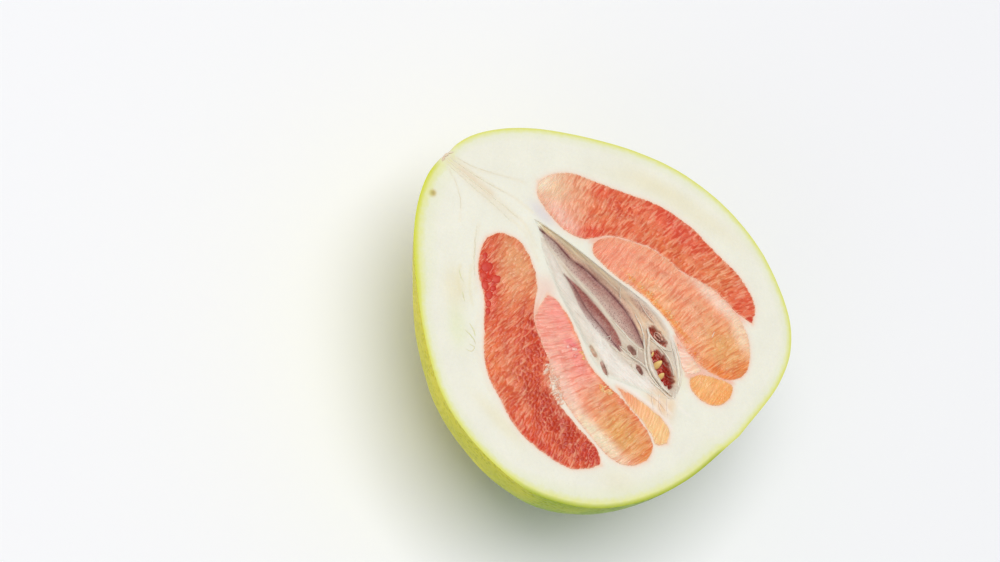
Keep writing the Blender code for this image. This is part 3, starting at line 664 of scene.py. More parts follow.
def peel_piece(materials):
    """Skin, pith and core pocket as one closed body: the round back under a ring of pith."""
    sheet = Sheet()
    sheet.grid(2 * PROFILE_COLUMNS, PITH_ROWS, cut_face, material=1)
    sheet.grid(PROFILE_COLUMNS, TURN_ROWS, back)
    sheet.belly(core_pocket, 1.05 * CORE_BELLY_DEPTH)
    piece, _, _ = sheet.finish("peel_body", materials)
    places = coordinates(piece)
    x, y, z = places.T
    face = np.abs(z) < ON_LEVEL
    outline = np.vstack([outline_side(np.linspace(0, 1, 400), side) for side in (-1, 1)])
    rim_distance = distance_to(outline, x, y)
    rim_distance[~face] = 0.0
    normal = places - np.array([MIDDLE_X, 0.0, 0.0])
    normal /= np.linalg.norm(normal, axis=1)[:, None]
    bumps = 0.35 * noise_at(22.0, 2, 1, x, y, z) + 0.07 * noise_at(2.6, 2, 2, x, y, z)
    bumps *= smoothstep(1.0, 14.0, -z) * (z > FLOOR + ON_LEVEL)
    relief = 0.10 * noise_at(7.0, 3, 3, x, y, z) + 0.05 * noise_at(1.6, 2, 4, x, y, z)
    relief -= 0.22 * (1 - smoothstep(0.0, 0.9, rim_distance))
    rims = np.vstack([rail.at(np.linspace(0, 1, 300)) for rail in (CORE.first, CORE.second)])
    core_distance = distance_to(rims, x, y)
    relief *= smoothstep(0.0, 1.2, core_distance)
    vein = np.zeros(len(x))
    colour = painted(x, y, "pith", PITH_PATCHES)
    broken = 0.75 + 0.35 * noise_at(5.0, 2, 5, x, y, z)
    for points, width, strength, tint in VEINS:
        share = np.clip(strength * line_share(points, width, x, y) * broken, 0, 1)
        vein = np.maximum(vein, share)
        colour = tinted(colour, tint, share)
    relief += 0.10 * vein
    near_pulp = next_pulp = FAR_OFF + 0 * x
    under = np.zeros(len(x))
    for shape in PULPS.values():
        loop = np.vstack([Rail(shape["outer"]).at(np.linspace(0, 1, 200)),
                          Rail(shape["inner"]).at(np.linspace(1, 0, 200))])
        away = distance_to(loop, x, y)
        next_pulp = np.minimum(next_pulp, np.maximum(near_pulp, away))
        near_pulp = np.minimum(near_pulp, away)
        under = np.maximum(under, inside_loop(loop, x, y) * smoothstep(0.3, 1.2, away))
    relief -= 0.5 * under
    places[face, 2] = relief[face]
    outer = ~face & (z < -ON_LEVEL) & (core_distance > POCKET_REACH)
    places[outer] += normal[outer] * bumps[outer][:, None]
    places[:, 2] = np.maximum(places[:, 2], FLOOR)
    set_places(piece, places)

    spot_x, spot_y, spot_size, ring_size = BLEMISH
    away = np.hypot(x - spot_x, y - spot_y)
    open_side = (y < 0) * smoothstep(8.0, 14.0, x)
    for tint, share in (("blemish_ring", 0.95 * np.exp(-(away / ring_size) ** 4)),
                        ("blemish", 0.85 * np.exp(-(away / spot_size) ** 2)),
                        ("pith_rose", 0.3 * np.exp(-(near_pulp / 2.0) ** 2)),
                        ("membrane", 0.75 * np.exp(-(near_pulp / 0.7) ** 2)),
                        ("septum", 0.9 * np.exp(-(next_pulp / 2.1) ** 4) * (1 - open_side))):
        colour = tinted(colour, tint, share)
    write(piece, "pith_colour", colour, "FLOAT_COLOR")
    scar_x, scar_y, scar_size, scar_across = STEM_SCAR
    away = np.hypot(x - scar_x, (y - scar_y) * scar_across)
    write(piece, "stem_scar", np.exp(-(away / scar_size) ** 2))
    stem, blossom = 1 - smoothstep(-52.0, -40.0, x), smoothstep(24.0, 40.0, x)
    near = smoothstep(4.0, -4.0, y)
    write(piece, "rim_distance", rim_distance / (1 + near * (0.9 * stem + 0.7 * blossom)))
    write(piece, "rim_green", 0.25 + near * (0.3 + 0.45 * stem + 0.45 * blossom))
    rim = np.tile(linear("rim_lime"), (len(x), 1))
    write(piece, "rim_colour", tinted(rim, "rim_green", near * blossom), "FLOAT_COLOR")
    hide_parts("peel")
    return piece


# ---------------------------------------------------------------- open core

CORE_COLUMNS = 360
CORE_ROWS = 150
LOOK_SLANT = 0.466
CORE_SECTION = smooth_line(CORE_FOLDS)

# Openings torn in the membranes: middle x and y, half lengths, turn, floor, colour, share.
TORN_OPENINGS = [
    (40.8, 5.3, 9.2, 3.5, -25.0, 6.6, "wound", 1.0),
    (30.2, 13.9, 5.3, 1.8, -9.0, 6.0, "wound_dark", 0.95),
    (27.0, 0.7, 2.5, 1.2, -6.0, 3.4, "hole_brown", 0.75),
    (34.7, -2.6, 2.9, 1.2, -24.0, 3.4, "hole_brown", 0.85),
    (24.4, -14.5, 3.3, 1.1, -22.0, 1.9, "wound_dark", 0.6),
    (16.6, -13.0, 2.8, 1.0, -18.0, 1.5, "hole_tan", 0.8)]

# The core's lines and fields, laid out as they are seen from the near side, high up.
FAR_CREASE = [
    (-35, 6.6), (-30, 7.3), (-25, 8), (-17, 8), (-8, 9.7), (0, 10.3), (8, 10.6), (15, 10),
    (22, 8.3), (27, 6.3), (30, 4.8)]
NEAR_CREASE = [
    (-14, 1), (-8, 0.3), (-3, -0.8), (3, -2.2), (10, -2.8), (15, -3.2), (20, -3.8), (24, -4)]
FAR_FIELD_EDGE = [
    (-35, 6.2), (-28, 5), (-15, 4.1), (0, 4.3), (10, 3.4), (20, 3), (27, 3.6), (31, 4.8)]
NEAR_FIELD_TOP = [(-14, 1.2), (-8, 1.7), (0, 2.1), (8, 1.6), (15, 0.8), (20, -0.6), (25, -3.2)]
NEAR_FIELD_EDGE = [
    (-14, 0.8), (-10, -0.4), (-5, -2.1), (0, -4), (5, -5.1), (10, -5.7), (15, -5.5), (20, -5),
    (25, -3.4)]

# Soft lines on the lining: points, width, colour, strength, and how far they stand out. Dark plum
# along the two creases and grey along folds are painted shade.
LINING_LINES = [
    # Both creases in dark plum: painted crease shade over the grooves.
    (FAR_CREASE, 0.46, "plum_specks_and_crease_shade", 0.95, -0.55), (NEAR_CREASE, 0.36, "plum_crease_shade", 0.75, -0.4),
    # Grey lines along folds of the near tissue: painted fold shadows.
    ([(-31, 3.6), (-20, -0.6), (-12, -5), (-5, -7.4), (3, -9.4), (10, -11.6), (18, -14)], 0.8,
      "fold_shadow_grey", 0.25, -0.1),
    ([(-20, -3), (-12, -6.3), (-4, -8.4), (4, -10.6), (12, -13.2)], 0.35,
      "fold_shadow_grey", 0.2, -0.05),
    ([(-37, 8.6), (-30, 10.6), (-20, 13), (-10, 14.2), (0, 15.6), (8, 17)], 0.5,
      "tissue", 0.7, 0.25),
    ([(-34, 8.8), (-24, 11), (-12, 12.6), (-2, 13.4), (6, 14.2)], 0.3, "tissue_shade", 0.5, -0.2),
    ([(-30, 9), (-20, 10.4), (-10, 11.6), (-2, 12.6), (8, 13.6), (18, 13), (25, 10.5)], 0.5,
      "tissue", 0.5, 0.2),
    # Grey along a fold on the far wall: painted fold shadow.
    ([(4, 17.4), (12, 18.2), (22, 18.4), (30, 17)], 0.5, "fold_shadow_grey", 0.5, -0.15),
    ([(-30, 4.6), (-15, 3), (0, 3.1), (10, 2.4), (20, 1.6), (30, 2.8)], 0.75, "tissue", 0.8, 0.35),
    ([(5, 15), (8, 12.8), (10, 11)], 0.3, "tissue", 0.6, 0.15)]

# Threads and torn lips over the lining, as they are seen: points, thickness.
THREADS = [
    ([(25, 11.6), (28, 9.6), (30.6, 6.6), (33.4, 3.4), (36.6, 0.9), (41, -0.6), (46, -1.4),
      (51.4, -1.1)], 0.8),
    ([(26, 8.6), (29, 5.6), (32, 2.4), (35.6, -0.2), (40, -1.9), (45, -2.7)], 0.5),
    ([(29.4, 9.4), (33.5, 10), (38, 9.6), (42.5, 8.4), (46.4, 5.6)], 0.36),
    ([(24.6, 12.6), (27, 10.8), (31, 10.3), (36, 11), (38.4, 12.6)], 0.38),
    ([(17, 12.2), (22, 10.6), (26.6, 8.2), (29.6, 5.4)], 0.3),
    ([(12, 2.5), (18, 2.6), (24, 2.4), (28, 2.9), (31, 4.2)], 0.3),
    ([(22, -2.9), (26, -3), (30, -2), (34, -0.8), (38, -0.9)], 0.34),
    ([(36, 16.6), (41, 13.9), (46, 10.4), (50, 5.6), (52.2, 1)], 0.42),
    ([(35, 15.6), (40, 12.6), (44, 9.9), (48, 6.4), (51.2, 2.2)], 0.24),
    ([(41, -3.6), (46, -2.9), (51.6, -2.6)], 0.34), ([(40, -2.4), (44.5, -2.2), (49, -1.9)], 0.2),
    ([(14.8, -5.8), (16.2, -4.2), (17, -2.6)], 0.16), ([(13, -5.9), (14.6, -4.4)], 0.1),
    ([(17.4, -5.6), (17.8, -4), (17.2, -2.8)], 0.14), ([(19, -5.6), (22, -5.2)], 0.14),
    ([(30.6, -2.2), (29.6, 0.2), (27.4, 2.6)], 0.26),
    ([(30.6, -2.2), (28.4, -1.6), (25.2, -1.8), (22.4, -2.8)], 0.24),
    ([(30.6, -2.2), (28.2, -3.8), (24.4, -4.8), (19, -6)], 0.26),
    ([(30.6, -2.2), (32.8, -1.3), (36, -1)], 0.26),
    ([(30.6, -2.2), (31.2, -4.6), (33.6, -5.6), (38, -5.4)], 0.28),
    ([(24.4, -1.2), (26.6, -2.2), (29.4, -1.6)], 0.16),
    ([(20.6, -13), (23, -13.2), (26, -14.6), (28.4, -16.4)], 0.2),
    ([(14, 17.6), (20, 16), (26, 15.6)], 0.16), ([(5, 15.4), (7, 13.6), (9, 12.4)], 0.2)]

# A bud with rings, seen in the far opening.
BUD_RINGS = [
    ([(28.4, 13), (29.6, 13.9), (31.6, 13.8), (32.8, 12.6), (31.6, 11.6), (29.4, 11.8),
      (28.5, 12.8)], 0.45),
    ([(29.4, 12.8), (30.6, 13), (31.8, 12.6)], 0.6)]

# Pale strands that lie over the thin skin beside the core, and one over the far flesh.
FLESH_STRANDS = [
    ([(45, 33), (46.2, 29.8)], 0.12), ([(44, -6), (47, -9), (50, -11.4)], 0.16),
    ([(47, -4.4), (50, -8), (54, -10)], 0.16), ([(50, -3.4), (53, -6), (56, -9)], 0.14),
    ([(43, -8.6), (48, -7.2), (54, -7.6)], 0.14)]


def core_depth(u, v):
    share = spread(u)
    lengthwise = np.sin(np.pi * np.clip(share, 0, 1) ** 0.85) ** 0.7
    lengthwise *= 0.45 + 0.55 * smoothstep(0.04, 0.42, share)
    shift = 0.09 * smoothstep(0.45, 0.72, share) * np.exp(-((v - 0.76) / 0.15) ** 2)
    return -CORE_HOLLOW_DEPTH * lengthwise * np.interp(v + shift, *CORE_SECTION.T)


def core_surface(u, v):
    """The lining in full detail: folds, lines, fibres and torn openings."""
    flat = CORE.flat(u, v)
    x, y = flat.T
    depth = core_depth(u, v)
    seen = y + LOOK_SLANT * depth
    inside = smoothstep(0.0, 0.06, np.minimum(v, 1 - v)) * smoothstep(0, 0.04, u)
    inside *= smoothstep(0, 0.03, 1 - u)
    fibres = noise_at(10.0, 3, 21, x, seen * 7.0)
    creases = noise_at(9.0, 2, 22, x, seen * 2.6)
    cotton = noise_at(3.0, 3, 24, x, seen) * patch_share(x, seen, (22, -9, 15, 6, -8))
    z = depth + inside * (0.20 * fibres + 0.35 * creases + 0.45 * cotton)
    z = z + LINING_LAP_HEIGHT * (1 - inside)
    for points, width, _, _, rise in LINING_LINES:
        z = z + inside * rise * line_share(points, width, x, seen)
    wound = np.zeros(len(x))
    lip = np.zeros(len(x))
    ragged = 0.2 * noise_at(1.4, 3, 23, x, y)
    bottom = 1.1 * noise_at(1.9, 3, 25, x, y)
    tints = []
    for opening in TORN_OPENINGS:
        half_x, (floor, tint, share) = opening[2], opening[5:]
        along, across = in_oval(x, y, opening)
        torn = ragged * (0.7 if half_x > 6.0 else 1.3)
        reach = np.sqrt(along ** 2 + np.abs(across) ** 2.2) + torn
        bowl = -floor * np.sqrt(np.clip(1 - np.clip(reach, 0, 1) ** 3, 0, 1)) + bottom
        into = smoothstep(1.0, 0.82, reach)
        z = np.where(reach < 1, np.minimum(z, z * (1 - into) + np.minimum(bowl, z) * into), z)
        tints.append((tint, smoothstep(1.08, 0.8, reach) * share))
        wound = np.maximum(wound, tints[-1][1] * min(1.0, half_x / 4.6) ** 2)
        lip = np.maximum(lip, np.exp(-((reach - 1.16) / 0.12) ** 2) * share)
    z = z + 0.25 * lip * inside
    return lift(flat, z), seen, wound, lip, tints


def between_lines(x, y, upper, lower, soft):
    """1 between two lines, fading over a soft edge and towards their ends."""
    upper, lower = smooth_line(upper), smooth_line(lower)
    inside = np.minimum(np.interp(x, *upper.T) - y, y - np.interp(x, *lower.T))
    ends = smoothstep(upper[0, 0] - 1, upper[0, 0] + 3, x) * (
        1 - smoothstep(upper[-1, 0] - 2, upper[-1, 0] + 1, x))
    return smoothstep(-soft, soft, inside) * ends


def core_piece(material):
    """The lining of the open core, folded, torn and coloured from white to mauve."""
    sheet = Sheet()
    sheet.grid(CORE_COLUMNS, CORE_ROWS, CORE.level)
    sheet.belly(CORE.flat, CORE_BELLY_DEPTH)
    piece, u, v = sheet.finish("core_lining", [material])
    places = coordinates(piece)
    top = places[:, 2] > -ON_LEVEL
    detailed, seen, wound, lip, tints = core_surface(u, v)
    places[top] = detailed[top]
    set_places(piece, places)

    x = places[:, 0]
    cloud = noise_at(4.0, 3, 31, x, seen * 2.5)
    far_field = between_lines(x, seen, FAR_CREASE, FAR_FIELD_EDGE, 0.55)
    near_field = between_lines(x, seen, NEAR_FIELD_TOP, NEAR_FIELD_EDGE, 0.5)
    above = seen - np.interp(x, *smooth_line(FAR_CREASE).T)
    wall = smoothstep(-0.2, 0.5, above) * (1 - smoothstep(30, 36, x))
    glow = wall * np.exp(-(above / 2.1) ** 2) * smoothstep(-34, -26, x) * (
        1 - smoothstep(16, 24, x))
    stem_part = 1 - smoothstep(-22, -9, x)
    far_part = smoothstep(-8, 14, x)
    width = CORE.width(spread(u))
    far_edge = np.exp(-((1 - v) * width / 1.3) ** 2)
    near_edge = np.exp(-(v * width / 1.6) ** 2)
    far_mauve = patch_share(x, seen, (18, 16.2, 7, 1.9, 0))
    mauve_share = far_field * (0.5 + 0.5 * np.exp(-((above + 1.0) / 3.6) ** 2))

    def patches(*rows):
        return [(strength * patch_share(x, seen, patch), tint) for strength, patch, tint in rows]

    layers = [(wall * 0.85, "tissue_wall"), (wall * stem_part * 0.5, "tissue_tan"),
              (0.75 * glow, "mauve"), (mauve_share * (1 - 0.75 * stem_part), "mauve"),
              (far_field * stem_part * 0.7, "tissue_shade"),
              # Darker mauve just below the far crease: painted crease shade.
              (0.55 * (far_field * np.exp(-((above + 0.6) / 1.6) ** 2)), "mauve_crease_shade"),
              (near_field, "mauve_near"), (0.6 * far_mauve, "mauve"),
              *patches((0.5, (29, 6.5, 6, 3, -50), "tissue_shade"),
                       (0.45, (47, 1, 7, 3, -30), "tissue_shade"),
                       (0.55, (31, 0.2, 9, 2.8, -15), "tissue_shade"),
                       (0.5, (17, -12.6, 4.5, 1.6, -25), "tissue_tan"),
                       (0.85, (20, -9, 19, 4.6, -12), "cotton"),
                       (0.85, (37, -7, 12, 4.4, 18), "cotton"),
                       (0.6, (-14, -1.5, 18, 3.2, -20), "cotton")),
              (0.8 * far_edge * far_part, "cotton"),
              (0.8 * far_edge * (1 - far_part), "pith_cream"), (0.9 * near_edge, "pith"),
              *patches((0.85, (47.4, 5.2, 4.0, 1.6, -50), "pith_peach"),
                       (0.6, (48, -4, 5, 2, 20), "pith_peach"))]
    colour = np.tile(linear("tissue"), (len(x), 1))
    for share, tint in layers:
        colour = tinted(colour, tint, share * (1 + 0.25 * cloud))
    # These lines include painted shade: dark plum along the creases and grey along folds.
    for points, width, tint, strength, _ in LINING_LINES:
        share = strength * line_share(points, width, x, seen) * (1 + 0.4 * cloud)
        colour = tinted(colour, tint, share)
    for tint, share in [("tissue", 0.6 * lip)] + tints:
        colour = tinted(colour, tint, share)
    write(piece, "tissue_colour", colour, "FLOAT_COLOR")
    mauve = np.clip(far_field + near_field + 0.7 * glow + far_mauve, 0, 1)
    write(piece, "mauve", mauve * (1 - wound))
    write(piece, "wound", wound)
    write(piece, "grain", np.column_stack([x, seen, 0 * x]), "FLOAT_VECTOR")
    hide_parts("core_membrane")
    return piece, places[top]


# ---------------------------------------------------------------- threads

THREAD_STEPS = 14
THREAD_SIDES = 7
THREAD_WAVE = 0.22
THREAD_RISE = 0.35
THREAD_MERGE = 0.004


def tube_place(centres, thickness):
    """Places on a thin tube along centres, drawn out to a point at both ends."""
    ahead = np.gradient(centres, axis=0)
    ahead /= np.linalg.norm(ahead, axis=1)[:, None]
    side = np.cross(ahead, [0.0, 0.0, 1.0])
    side /= np.linalg.norm(side, axis=1)[:, None]
    up = np.cross(side, ahead)

    def place(u, v):
        index = np.rint(u * (len(centres) - 1)).astype(int)
        radius = thickness * np.sin(np.pi * np.clip(u, 0, 1)) ** 0.4
        turn = 2 * np.pi * v
        return (centres[index] + side[index] * (np.cos(turn) * radius)[:, None]
                + up[index] * (np.sin(turn) * radius)[:, None])
    return place


def smoothed(values, times):
    for _ in range(times):
        inner = 0.25 * values[:-2] + 0.5 * values[1:-1] + 0.25 * values[2:]
        values = np.vstack([values[:1], inner, values[-1:]])
    return values


def threads_piece(name, threads, find, material):
    """Thin threads that lie on a surface; find(x, y) gives places on it."""
    sheet = Sheet()
    for number, (points, thickness) in enumerate(threads):
        line = smooth_line(points, THREAD_STEPS)
        line = line + THREAD_WAVE * noise_at(2.2, 2, 40 + number, *line.T)[:, None]
        centres = smoothed(find(*line.T), 2) + [0.0, 0.0, THREAD_RISE * thickness]
        sheet.grid(len(centres) - 1, THREAD_SIDES, tube_place(centres, thickness))
    sheet.merge(THREAD_MERGE)
    piece, _, _ = sheet.finish(name, [material])
    return piece


def level(height):
    """Gives places at one height over x and y."""
    return lambda x, y: lift(np.column_stack([x, y]), height)


def finder(places, reach=0.45):
    """Gives, for each x, y as it is seen, a place on the surface in front of all the others."""
    tree = tree_of(np.column_stack([places[:, 0], places[:, 1] + LOOK_SLANT * places[:, 2]]))

    def find(x, y):
        z = []
        for spot in zip(x, y, 0 * x):
            close = [places[index, 2] for _, index, _ in tree.find_range(spot, reach)]
            z.append(max(close) if close else places[tree.find(spot)[1], 2])
        z = smoothed(np.array(z)[:, None], 3)[:, 0]
        return np.column_stack([x, y - LOOK_SLANT * z, z])
    return find


# ---------------------------------------------------------------- drops, grains and seeds

DROP_LEVEL = 0.25

# Single drops: middle x and y, length, width, turn in degrees.
RED_DROPS = [
    (-37.4, -22.0, 5.2, 4.4, 70), (-31.2, -22.6, 4.2, 3.6, 60), (-35.8, -25.6, 3.2, 2.8, 0),
    (-32.4, -28.2, 3.8, 3.0, -30), (-28.6, -29.8, 3.8, 3.1, -50), (-32.6, -25.2, 2.8, 2.2, 40),
    (-29.4, -26.4, 3.0, 2.2, 70), (-26.2, -32.6, 3.0, 2.3, -50), (-41.0, -19.4, 3.2, 2.2, -60),
    (-24.2, -35.0, 2.8, 2.0, -50)]
PINK_DROPS = [(10.4, -18.5, 2.6, 2.2, 60), (8.2, -19.4, 2.6, 1.7, 70), (12.6, -20.0, 2.4, 1.5, 75)]
STEM_NUB = [(-81.2, -3.2, 3.0, 1.0, 110), (-81.5, -1.2, 3.2, 1.2, 80), (-81.0, 0.8, 2.6, 0.9, 60)]

# Strewn grains: middle x and y, half lengths, turn of the oval, count, length, width, turn.
PALE_GRAINS = [(14.6, -35.4, 8.6, 2.5, -24, 62, 2.2, 0.85, 84)]
GOLD_GRAINS = [
    (31.2, -20.6, 3.6, 1.2, 8, 20, 1.8, 1.1, 60), (14, -17.6, 2.4, 0.6, -20, 7, 1.3, 0.8, 30),
    (12, 22.6, 9.0, 0.9, 6, 22, 1.8, 0.8, 75), (29, 23.0, 5.0, 1.0, 0, 14, 1.8, 0.8, 70),
    (44, 19.8, 5.0, 0.5, -4, 8, 1.4, 0.7, 40)]

# Middle, length, width, turn and rise in degrees.
SEEDS = {
    "seed_1": ((38.6, 6.1, -5.2), 5.4, 2.9, 88.0, 40.0),
    "seed_2": ((42.9, 3.9, -5.2), 3.8, 2.3, 94.0, 42.0),
    "seed_3": ((33.5, 8.3, -4.6), 4.0, 1.4, 128.0, 8.0),
}


def strewn(groups, seed):
    """Single drops at random places in ovals, each a little different from the next."""
    draw = np.random.default_rng(seed)
    drops = []
    for middle_x, middle_y, half_x, half_y, turn, count, length, width, lean in groups:
        c, s = math.cos(math.radians(turn)), math.sin(math.radians(turn))
        for _ in range(count):
            way, reach = draw.uniform(0, 2 * math.pi), math.sqrt(draw.uniform(0, 1))
            along, across = half_x * reach * math.cos(way), half_y * reach * math.sin(way)
            size = draw.uniform(0.65, 1.2)
            drops.append((middle_x + along * c - across * s, middle_y + along * s + across * c,
                          length * size, width * size, lean + draw.uniform(-28, 28)))
    return drops


def turn_by(body, degrees, axis, verts):
    matrix = Matrix.Rotation(math.radians(degrees), 3, axis)
    bmesh.ops.rotate(body, cent=(0, 0, 0), matrix=matrix, verts=verts)


def drops_piece(name, drops, material):
    """Drop-shaped grains that lie half sunk in the cut flesh."""
    body = bmesh.new()
    for x, y, length, width, turn in drops:
        made = bmesh.ops.create_uvsphere(body, u_segments=14, v_segments=10, radius=0.5)["verts"]
        for vert in made:
            taper = 1.0 - 0.5 * max(vert.co.z, 0.0)
            vert.co = (vert.co.z * length, vert.co.x * width * taper,
                       vert.co.y * (0.5 + 0.08 * width) * taper)
        turn_by(body, turn, "Z", made)
        bmesh.ops.translate(body, vec=(x, y, DROP_LEVEL), verts=made)
    piece = mesh_piece(name, body, [material])
    return piece


def seed_piece(name, material):
    """A small seed that never filled, wrinkled and drawn out to a point."""
    middle, length, width, turn, rise = SEEDS[name]
    body = bmesh.new()
    bmesh.ops.create_uvsphere(body, u_segments=32, v_segments=24, radius=1.0)
    turn_by(body, 90, "Y", body.verts[:])
    for vert in body.verts:
        share = (vert.co.x + 1.0) / 2.0
        around = math.atan2(vert.co.z, vert.co.y)
        taper = (1.0 - 0.3 * share ** 2) * (1.0 + 0.05 * math.sin(5 * around))
        vert.co.y *= taper
        vert.co.z *= taper
    bmesh.ops.scale(body, vec=(length / 2, width / 2, width / 3), verts=body.verts[:])
    turn_by(body, -rise, "Y", body.verts[:])
    turn_by(body, turn, "Z", body.verts[:])
    bmesh.ops.translate(body, vec=middle, verts=body.verts[:])
    piece = mesh_piece("aborted_" + name, body, [material])
    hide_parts(name)
    return piece


# ---------------------------------------------------------------- nodes

# The shader's sockets by short names.
SOCKETS = {"colour": "Base Color", "rough": "Roughness", "normal": "Normal",
           "specular": "Specular IOR Level", "coat": "Coat Weight",
           "coat_rough": "Coat Roughness"}
SOFT_DEPTH = 0.0012


def rgba(code):
    return (*linear(code), 1.0)


class Nodes:
    """Shader nodes in a tree; inputs are numbers, colours or sockets, by name or index."""

    def __init__(self, tree):
        self.tree = tree

    def feed(self, node, inputs):
        for key, value in inputs.items():
            if isinstance(value, bpy.types.NodeSocket):
                self.tree.links.new(value, node.inputs[key])
            else:
                node.inputs[key].default_value = value

    def add(self, kind, inputs=None, **settings):
        made = self.tree.nodes.new("ShaderNode" + kind)
        for key, value in settings.items():
            setattr(made, key, value)
        self.feed(made, inputs or {})
        return made

    def calc(self, operation, first, second=0.0):
        return self.add("Math", {0: first, 1: second}, operation=operation).outputs[0]

    def times(self, first, second):
        return self.calc("MULTIPLY", first, second)

    def plus(self, first, second):
        return self.calc("ADD", first, second)

    def swing(self, value, size):
        """A value about its middle, 0.5, as a swing about 0."""
        return self.times(self.calc("SUBTRACT", value, 0.5), size)

    def ramp(self, value, low, high, to_low=0.0, to_high=1.0):
        return self.add("MapRange", {"Value": value, "From Min": low, "From Max": high,
                                     "To Min": to_low, "To Max": to_high},
                        clamp=True).outputs["Result"]

    def blend(self, share, first, second, mode="MIX"):
        return self.add("Mix", {"Factor": share, 6: first, 7: second}, data_type="RGBA",
                        blend_type=mode).outputs[2]

    def lit(self, colour, light):
        return self.add("VectorMath", {0: colour, "Scale": light}, operation="SCALE").outputs[0]

    def read(self, name, output="Fac"):
        return self.add("Attribute", attribute_name=name).outputs[output]

    def places(self):
        return self.add("TexCoord").outputs["Object"]

    def stretched(self, vector, scale):
        return self.add("Mapping", {"Vector": vector, "Scale": scale}).outputs[0]

    def noise(self, vector, scale, detail=3.0, roughness=0.5):
        return self.add("TexNoise", {"Vector": vector, "Scale": scale, "Detail": detail,
                                     "Roughness": roughness}).outputs["Fac"]

    def cells(self, vector, scale):
        return self.add("TexVoronoi", {"Vector": vector, "Scale": scale},
                        feature="F1").outputs["Distance"]

    def bump(self, height, strength, distance, normal=None):
        under = {} if normal is None else {"Normal": normal}
        return self.add("Bump", {"Height": height, "Strength": strength, "Distance": distance,
                                 **under}).outputs["Normal"]

    def group(self, group, inputs):
        return self.add("Group", node_tree=group, inputs=inputs).outputs


class Finish(Nodes):
    """A material, with its nodes and its Principled BSDF."""

    def __init__(self, name):
        self.material = bpy.data.materials.new(name)
        self.material.use_nodes = True
        super().__init__(self.material.node_tree)
        self.shader = self.tree.nodes["Principled BSDF"]

    def wears(self, **inputs):
        """Feeds the shader's sockets, and gives the material."""
        self.feed(self.shader, {SOCKETS[key]: value for key, value in inputs.items()})
        return self.material

    def under_light(self, weight, radius):
        """Light that passes through the surface, redder than it went in."""
        self.feed(self.shader, {"Subsurface Weight": weight, "Subsurface Radius": radius,
                                "Subsurface Scale": SOFT_DEPTH})


class Group(Nodes):
    """An effect that several materials use, as a node group with named sockets."""

    def __init__(self, name, inputs, outputs):
        super().__init__(bpy.data.node_groups.new(name, "ShaderNodeTree"))
        for way, sockets in (("INPUT", inputs), ("OUTPUT", outputs)):
            for label, kind in sockets.items():
                self.tree.interface.new_socket(label, in_out=way, socket_type="NodeSocket" + kind)
        self.given = self.tree.nodes.new("NodeGroupInput").outputs
        self.out = self.tree.nodes.new("NodeGroupOutput")


def mottle_group():
    """Soft blotches and fine grain: a colour made uneven, and the height of the grain."""
    n = Group("soft_mottle",
              {"Vector": "Vector", "Colour": "Color", "Blotch Scale": "Float",
               "Grain Scale": "Float", "Amount": "Float"},
              {"Colour": "Color", "Height": "Float"})
    blotch = n.noise(n.given["Vector"], n.given["Blotch Scale"], 3.0)
    grain = n.noise(n.given["Vector"], n.given["Grain Scale"], 4.0, 0.6)
    both = n.plus(n.calc("SUBTRACT", blotch, 0.5), n.swing(grain, 0.8))
    light = n.plus(n.times(both, n.given["Amount"]), 1.0)
    n.feed(n.out, {"Colour": n.lit(n.given["Colour"], light), "Height": grain})
    return n.tree


def sac_group():
    """Juice sacs: deeper middles, paler walls, an own tone for each, and fine long fibres."""
    n = Group("juice_sacs",
              {"Flesh": "Color", "Grain": "Vector", "Middle": "Float", "Tone": "Float",
               "Dots": "Float", "Contrast": "Float"},
              {"Colour": "Color", "Height": "Float", "Roughness": "Float"})
    flesh, grain, middle, tone, dots, contrast = (
        n.given[key] for key in ("Flesh", "Grain", "Middle", "Tone", "Dots", "Contrast"))
    fibre = n.noise(n.stretched(grain, (1.6, 0.16, 1.0)), 1.6, 4.0, 0.62)
    cloud = n.noise(grain, 0.22, 3.0)
    patch = n.noise(grain, 0.4, 2.0)
    dark = n.blend(1.0, flesh, (0.86, 0.52, 0.42, 1.0), "MULTIPLY")
    light = n.blend(0.26, flesh, (1.0, 0.70, 0.46, 1.0))
    deepest = n.blend(1.0, flesh, (0.78, 0.38, 0.28, 1.0), "MULTIPLY")
    core = n.ramp(n.plus(middle, n.swing(fibre, 0.5)), 0.0, 0.5)
    wall = n.ramp(n.plus(middle, n.swing(fibre, 0.8)), 0.0, 0.45, 1.0, 0.0)
    colour = flesh
    for above, share in ((dark, n.times(core, n.ramp(tone, 0.48, 0.26))),
                         (light, n.times(core, n.ramp(tone, 0.66, 0.86))),
                         (light, n.times(wall, n.ramp(patch, 0.42, 0.6, 0.0, 0.8))),
                         (dark, n.times(wall, n.ramp(patch, 0.56, 0.38, 0.0, 0.8))),
                         (deepest, dots)):
        colour = n.blend(n.times(share, contrast), colour, above)
    bright = n.plus(n.ramp(fibre, 0.3, 0.7, 0.94, 1.18), n.ramp(cloud, 0.3, 0.7, -0.08, 0.08))
    n.feed(n.out, {"Colour": n.lit(colour, bright), "Height": fibre,
                   "Roughness": n.ramp(fibre, 0.3, 0.7, 0.40, 0.24)})
    return n.tree


# ---------------------------------------------------------------- materials


def flesh_material(name, sacs, contrast):
    n = Finish(name)
    out = n.group(sacs, {
        "Flesh": n.read("flesh", "Color"), "Grain": n.read("grain", "Vector"),
        "Middle": n.read("sac_middle"), "Tone": n.read("sac_tone"), "Dots": n.read("sac_dots"),
        "Contrast": n.times(n.read("sac_strength"), contrast)})
    n.under_light(0.25, (1.0, 0.45, 0.3))
    return n.wears(colour=out["Colour"], rough=out["Roughness"], coat=0.12, coat_rough=0.1,
                   specular=0.3, normal=n.bump(out["Height"], 0.2, 0.0003))


def mottled(n, mottle, places, colour, blotches, grain, amount):
    return n.group(mottle, {"Vector": places, "Colour": colour, "Blotch Scale": blotches,
                            "Grain Scale": grain, "Amount": amount})


